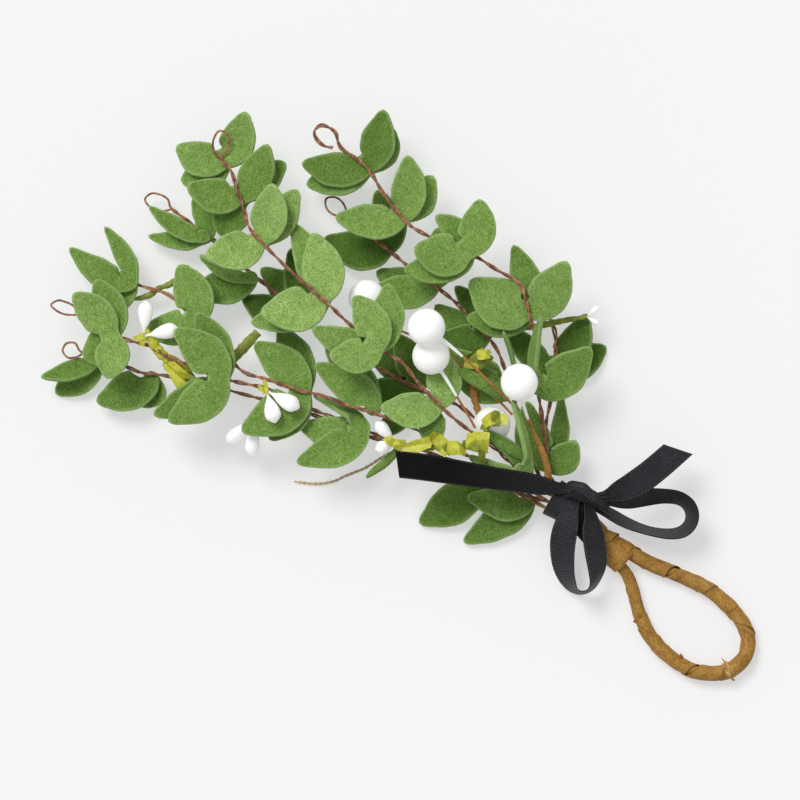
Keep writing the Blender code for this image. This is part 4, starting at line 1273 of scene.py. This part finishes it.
def eased(values, reach):
    """Values along a path, smoothed over a number of samples, with both ends held."""
    window = np.exp(-0.5 * (np.arange(-2 * reach, 2 * reach + 1) / reach) ** 2)
    window /= window.sum()
    start = 2 * values[:1] - values[1:2 * reach + 1][::-1]
    end = 2 * values[-1:] - values[-2 * reach - 1:-1][::-1]
    padded = np.vstack([start, values, end])
    return np.array([np.convolve(column, window, "valid") for column in padded.T]).T


def ribbon_grid(centres, reach, ease=7, slant=(0.0, 0.0), heart=None,
                pinch=PINCH_REACH):
    """The ribbon's middle surface as a fine grid: gathered in pleats where it comes
    near the bow's heart; slant skews the cut at each end."""
    along = distances(centres)
    fine = np.linspace(0, along[-1], int(along[-1] / GRID_STEP))
    path = eased(smooth_through(centres, along, fine), ease)
    reach = eased(smooth_through(reach, along, fine), ease)
    heads = directions(path)
    size = np.linalg.norm(reach, axis=1)
    reach = np.array([unit(w - h * (w @ h)) * n for w, h, n in zip(reach, heads, size)])
    u = np.linspace(-1, 1, 21)
    full = np.ones(len(path))
    if heart is not None:
        near = np.clip(np.linalg.norm(path - heart, axis=1) / pinch, 0, 1)
        full = near * near * (3 - 2 * near)
    reach = reach * (PINCH_WIDTH + (1 - PINCH_WIDTH) * full)[:, None]
    grid = path[:, None, :] + reach[:, None, :] * u[None, :, None]
    pleats = np.outer(1 - full, np.cos(u * 7.5) * PLEAT_DEPTH)
    grid += grid_normals(grid) * pleats[:, :, None]
    for skew, far in zip(slant, (fine, fine[-1] - fine)):
        share = np.clip(1 - far / 14.0, 0, 1) ** 2 * skew
        grid += heads[:, None, :] * (share[:, None] * u[None, :])[:, :, None]
    return grid, fine


def gathered(centres, reach, heart, at_start=False, at_end=False):
    """The strip carried on to the heart of the bow."""
    for wanted, end in ((at_start, 0), (at_end, -1)):
        if wanted:
            beyond = 0 if end == 0 else len(centres)
            steps = (0.8, 0.4) if end == 0 else (0.4, 0.8)
            points = [centres[end] * (1 - t) + heart * t for t in steps]
            centres = np.insert(centres, beyond, points, axis=0)
            reach = np.insert(reach, beyond, [reach[end]] * 2, axis=0)
    return centres, reach


def woven(shape, grid, fine, shade=0.5):
    """Adds a ribbon surface with its cross ribs and edge cords."""
    u = np.linspace(-1, 1, grid.shape[1])
    normal = grid_normals(grid)
    wave = np.cos(2 * math.pi * fine / RIB_PITCH)
    inside = (np.abs(u) < 0.94).astype(float)
    relief = RIB_HEIGHT * np.outer(wave, inside)
    grid = grid + normal * relief[:, :, None]
    # painted highlight mask: 1 on the rib tops, 0 in the hollows between them
    rim = np.clip(0.5 + 0.5 * np.outer(wave, inside), 0, 1)
    rim = np.concatenate([rim, rim[:, ::-1]], axis=1)
    add_sheet(shape, grid, RIBBON_THICKNESS, rim=rim.ravel(), shade=shade)
    for column in (0, -1):
        shape.add(*skin(round_tube(grid[::2, column], EDGE_CORD, 7)), rim=0.35, shade=shade)
    return grid, normal


def stitches(shape, grid, normal, spacing=1.6):
    """Short pale threads over both edges of a ribbon."""
    every = max(1, int(spacing / GRID_STEP))
    for column, inward in ((0, 1), (-1, -2)):
        for k in range(2, len(grid) - 3, every):
            for face in (1, -1):
                lift = normal[k, column] * face * (RIBBON_THICKNESS / 2 + 0.07)
                ends = np.array([grid[k, column] * 0.9 + grid[k, inward] * 0.1 + lift,
                                 grid[k + 1, inward] * 0.7 + grid[k, column] * 0.3 + lift])
                shape.add(*skin(round_tube(ends, 0.09, 4)))


def rolled_grid(route):
    """A ribbon rolled up lengthwise along a route, its edges tucked below."""
    along = distances(route)
    fine = np.linspace(0, along[-1], int(along[-1] / GRID_STEP))
    path = smooth_through(route, along, fine)
    heads = directions(path)
    side = np.array([unit(np.cross(h, UP + 0.5 * KNOT_LEAN)) for h in heads])
    up = np.cross(side, heads)
    angles = np.linspace(-KNOT_ROLL, KNOT_ROLL, 31)
    tuck = np.sin(np.clip(fine / fine[-1] * 0.9 + 0.08, 0, 1) * math.pi) ** 0.35
    sizes = KNOT_RADIUS * (0.35 + 0.65 * tuck) * (1 + 0.08 * np.sin(fine * 0.9))
    across = np.outer(sizes, np.sin(angles) * (1 + 0.12 * np.cos(angles * 3)))
    above = np.outer(sizes, np.cos(angles) * 0.72)
    grid = path[:, None, :] + across[:, :, None] * side[:, None, :] \
        + above[:, :, None] * up[:, None, :]
    return grid, fine


def make_ribbon(name, grid, fine, nodes, held, rests_on, shades=(0.5,)):
    """One strip of the bow; shades, its painted sheen and shade, are spread evenly from its
    start to its end.
    """
    shape, thread = Shape(), Shape()
    shade = np.interp(fine / fine[-1], np.linspace(0, 1, len(shades)), shades)
    shade = np.repeat(shade, grid.shape[1] * 2)
    grid, normal = woven(shape, grid, fine, shade)
    stitches(thread, grid, normal)
    piece = shape.piece(name, RIBBON, "ribbon_cloth", *nodes, sharp=50)
    edge = thread.piece(name + "_stitches", STITCH, "ribbon_cloth", sharp=50)


def half_widths(rings):
    across = (rings[:, 1] + rings[:, 2] - rings[:, 0] - rings[:, 3]) / 4
    return rings.mean(1), across * RIBBON_WIDTH / STRIP_WIDTH


def make_bow():
    """The bow: its strips, the rolled fold over its middle, a dark strip of painted shade
    inside the near loop, and the turn below it.
    """
    rings = ribbon_rings("ribbon_tail_and_far_loop")
    thick = np.linalg.norm(rings[:, 0] - rings[:, 3], axis=1)
    heart = rings[int(thick.argmax())].mean(0)
    centres, reach = half_widths(rings)
    if centres[0][0] > centres[-1][0]:
        centres, reach = centres[::-1], reach[::-1]
    away = np.clip((np.linalg.norm(centres - heart, axis=1) - 24) / 16, 0, 1)
    away *= centres[:, 0] > heart[0]
    reach = reach * (1 + away[:, None] * FAR_LOOP_TILT)
    centres, reach = gathered(centres, reach, heart - UP * 3, at_end=True)
    # the shades below are painted: near black at the tail's end, lighter on the loops
    make_ribbon("grosgrain_tail_and_loop",
                *ribbon_grid(centres, reach, slant=(1.5, 0.0), heart=heart,
                             pinch=LONG_PINCH),
                ["ribbon_tail_and_far_loop"], "folded", ["ribbon_wrap"],
                (0.02, 0.02, 0.12, 0.3, 0.4, 0.5, 0.55, 0.5, 0.2, 0.05))
    centres, reach = half_widths(ribbon_rings("ribbon_near_loop"))
    low_end = np.clip((heart[1] - 22 - centres[:, 1]) / 20, 0, 1)[:, None]
    reach = reach * (1 + low_end * NEAR_LOOP_TILT)
    centres, reach = gathered(centres, reach, heart, at_start=True, at_end=True)
    make_ribbon("grosgrain_near_loop", *ribbon_grid(centres, reach, heart=heart),
                ["ribbon_near_loop"], "folded", ["ribbon_wrap"], (0.5, 0.6, 0.6, 0.55, 0.3))
    centres, reach = half_widths(ribbon_rings("ribbon_short_tail"))
    if centres[0][1] > centres[-1][1]:
        centres, reach = centres[::-1], reach[::-1]
    centres, reach = gathered(centres, reach, heart + UP * 2, at_start=True)
    make_ribbon("grosgrain_short_tail",
                *ribbon_grid(centres, reach, slant=(0.0, 3.6), heart=heart),
                ["ribbon_short_tail"], "draped", ["ribbon_tail_and_far_loop"],
                (0.25, 0.45, 0.5))
    # a ribbon strip in the darkest painted shade, under the gap between the near loop's
    # strips, where only shade shows
    shade_strip = heart + np.array([(-3.0, -1.0, -7.0), (-0.4, -5.0, -6.0), (2.2, -9.6, -6.2),
                               (4.6, -14.0, -7.4), (7.0, -19.2, -9.6)])
    make_ribbon("grosgrain_shade_strip",
                *ribbon_grid(shade_strip, np.repeat([SHADE_STRIP_REACH], len(shade_strip), axis=0),
                             slant=(0.0, 4.5)),
                [], "folded", ["ribbon_wrap"], (0.0, 0.0))
    inside = heart + np.array([(-9.0, -2.6, -2.4), (-4.5, -1.2, -0.6), (0.0, -0.4, 0.0),
                               (4.5, -0.2, -0.6), (9.5, 0.2, -2.6)])
    make_ribbon("grosgrain_knot_inside", *rolled_grid(inside), [], "folded",
                ["grosgrain_tail_and_loop"], (0.3, 0.2, 0.3))
    route = heart + np.array([(-8.0, -6.0, -6.0), (-9.0, -2.4, -2.4), (-8.0, 1.2, 1.2),
                              (-4.6, 2.4, 2.8), (0.0, 2.2, 3.2), (4.6, 1.6, 2.2),
                              (8.6, 1.3, 0.0), (12.0, 1.0, -2.8)])
    make_ribbon("grosgrain_knot_fold", *rolled_grid(route), [], "folded",
                ["grosgrain_tail_and_loop"], (0.35, 0.5, 0.6, 0.5))
    make_wrap()


def make_wrap():
    """The turn of ribbon round the stems, its end a little over its start."""
    low, high = box_of("ribbon_wrap")
    middle = (low + high) / 2
    half, tall = (high[1] - low[1]) / 2, (high[2] - low[2]) / 2
    angles = np.linspace(-math.pi * 0.95, math.pi * 1.1, 160)
    shape = Shape()
    rows = []
    for k, angle in enumerate(angles):
        lap = 0.25 * k / len(angles)
        rows.append([middle + [x, (half * w + lap) * math.cos(angle) * 0.9,
                               (tall * w + lap) * math.sin(angle)]
                     for x, w in zip(np.linspace(LAP_START, LAP_START + LAP_WIDTH, 21),
                                     np.linspace(0.98, 0.86, 21))])
    grid = np.array(rows)
    fine = distances(grid[:, 10])
    woven(shape, grid, fine)
    piece = shape.piece("grosgrain_wrap", RIBBON, "ribbon_cloth", "ribbon_wrap", sharp=50)


# ---------------------------------------------------------------- twine

def make_twine():
    """The loose end of the twine: two plies, frayed where it was cut."""
    layers = tube_layers("twine_end", 8)
    if layers[0][:, 0].mean() < layers[-1][:, 0].mean():
        layers = layers[::-1]
    path = refined([ring.mean(0) for ring in layers], 0.6)
    side, up = frames_along(path)
    turn = 2 * math.pi * distances(path) / TWINE_PITCH
    shape = Shape()
    for ply in (0, math.pi):
        swing = (side * np.cos(turn + ply)[:, None]
                 + up * np.sin(turn + ply)[:, None]) * 0.36
        radii = TWINE_PLY * (1 + 0.14 * ripple(path + ply, 2.2, 9))
        shape.add(*skin(round_tube(path + swing, radii, 8)))
    rng = np.random.RandomState(3)
    heads = directions(path)
    for _ in range(60):
        k = rng.randint(4, len(path) - 2)
        out = unit(side[k] * rng.normal() + up[k] * abs(rng.normal()))
        hair = path[k] + np.outer([0.5, 1.1, 1.5], out) \
            + np.outer([0, 0.5, 1.4], heads[k]) * rng.uniform(-1, 1)
        shape.add(*skin(round_tube(hair, 0.05, 3)))
    for _ in range(9):
        lean = side[-1] * rng.uniform(-0.5, 0.5) + UP * rng.uniform(0, 0.25)
        hair = path[-1] + np.outer([-1.5, 0.5, 2.2], heads[-1] + lean * 0.3) \
            + np.outer([0, 0.2, 1.0], lean)
        shape.add(*skin(round_tube(hair, [0.22, 0.16, 0.05], 5)))
    piece = shape.piece("jute_twine", JUTE, "twine_fibre", "twine_end", sharp=50)


# ---------------------------------------------------------------- stage

def make_stage():
    """A pale table that curves up far away, so that no side view shows its end."""
    mesh = bpy.data.meshes.new("floor")
    verts, faces = [], []
    bend = [(0.0, 0.0)] + [(math.sin(a), 1 - math.cos(a))
                           for a in np.radians(np.linspace(0, 80, 9))]
    for k, (out, rise) in enumerate(bend):
        reach = FLOOR_REACH * (0.02 if k == 0 else 1) + out
        verts += [(x * reach, y * reach, rise)
                  for x, y in ((-1, -1), (1, -1), (1, 1), (-1, 1))]
        if k:
            faces += [(4 * k - 4 + j, 4 * k + j, 4 * k + (j + 1) % 4,
                       4 * k - 4 + (j + 1) % 4) for j in range(4)]
    faces.append((0, 1, 2, 3))
    mesh.from_pydata(verts, [], faces)
    mesh.materials.append(floor_finish())
    mesh.shade_smooth()
    floor = link("floor", mesh)
    floor.location.z = cad_low.z - 0.0002


def make_light():
    world = bpy.data.worlds.new("studio")
    world.use_nodes = True
    background = world.node_tree.nodes["Background"]
    background.inputs["Color"].default_value = (1.0, 1.0, 1.0, 1.0)
    background.inputs["Strength"].default_value = SKY_LIGHT
    bpy.context.scene.world = world
    sun = bpy.data.lights.new("key", "SUN")
    sun.energy = KEY_POWER
    sun.angle = KEY_SPREAD
    key = link("key", sun)
    key.rotation_euler = Vector(KEY_FROM).to_track_quat("Z", "Y").to_euler()


def make_camera():
    camera = bpy.data.cameras.new("camera")
    camera.sensor_width = 36.0
    camera.lens = camera.sensor_width * CAMERA_HEIGHT / VIEW_WIDTH
    camera.clip_end = 100.0
    obj = link("camera", camera)
    centre = (cad_low + cad_high) / 2
    obj.location = (centre.x + VIEW_SHIFT[0] * MM, centre.y + VIEW_SHIFT[1] * MM,
                    cad_low.z + (CAMERA_HEIGHT + 20) * MM)
    obj.rotation_euler = (0, 0, VIEW_TURN)
    bpy.context.scene.camera = obj


def main():
    make_camera()
    make_twine()
    nodes = sorted(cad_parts)
    for k, node in enumerate(nodes):
        seed = 1000 + 97 * k
        if node.startswith("leaf_whorl"):
            make_whorl(node, seed)
        elif node.startswith("sprig_wire"):
            make_wire(node, seed)
        elif node.startswith("berry"):
            make_berry(node, seed)
        elif node.startswith("bud_pair"):
            make_buds(node, seed)
    make_papers()
    make_stems()
    make_end_buds()
    core = handle_core()
    make_handle(core)
    make_collar()
    make_tie(core)
    make_bow()
    make_stage()
    make_light()
    bpy.context.scene.view_settings.view_transform = "Standard"


main()
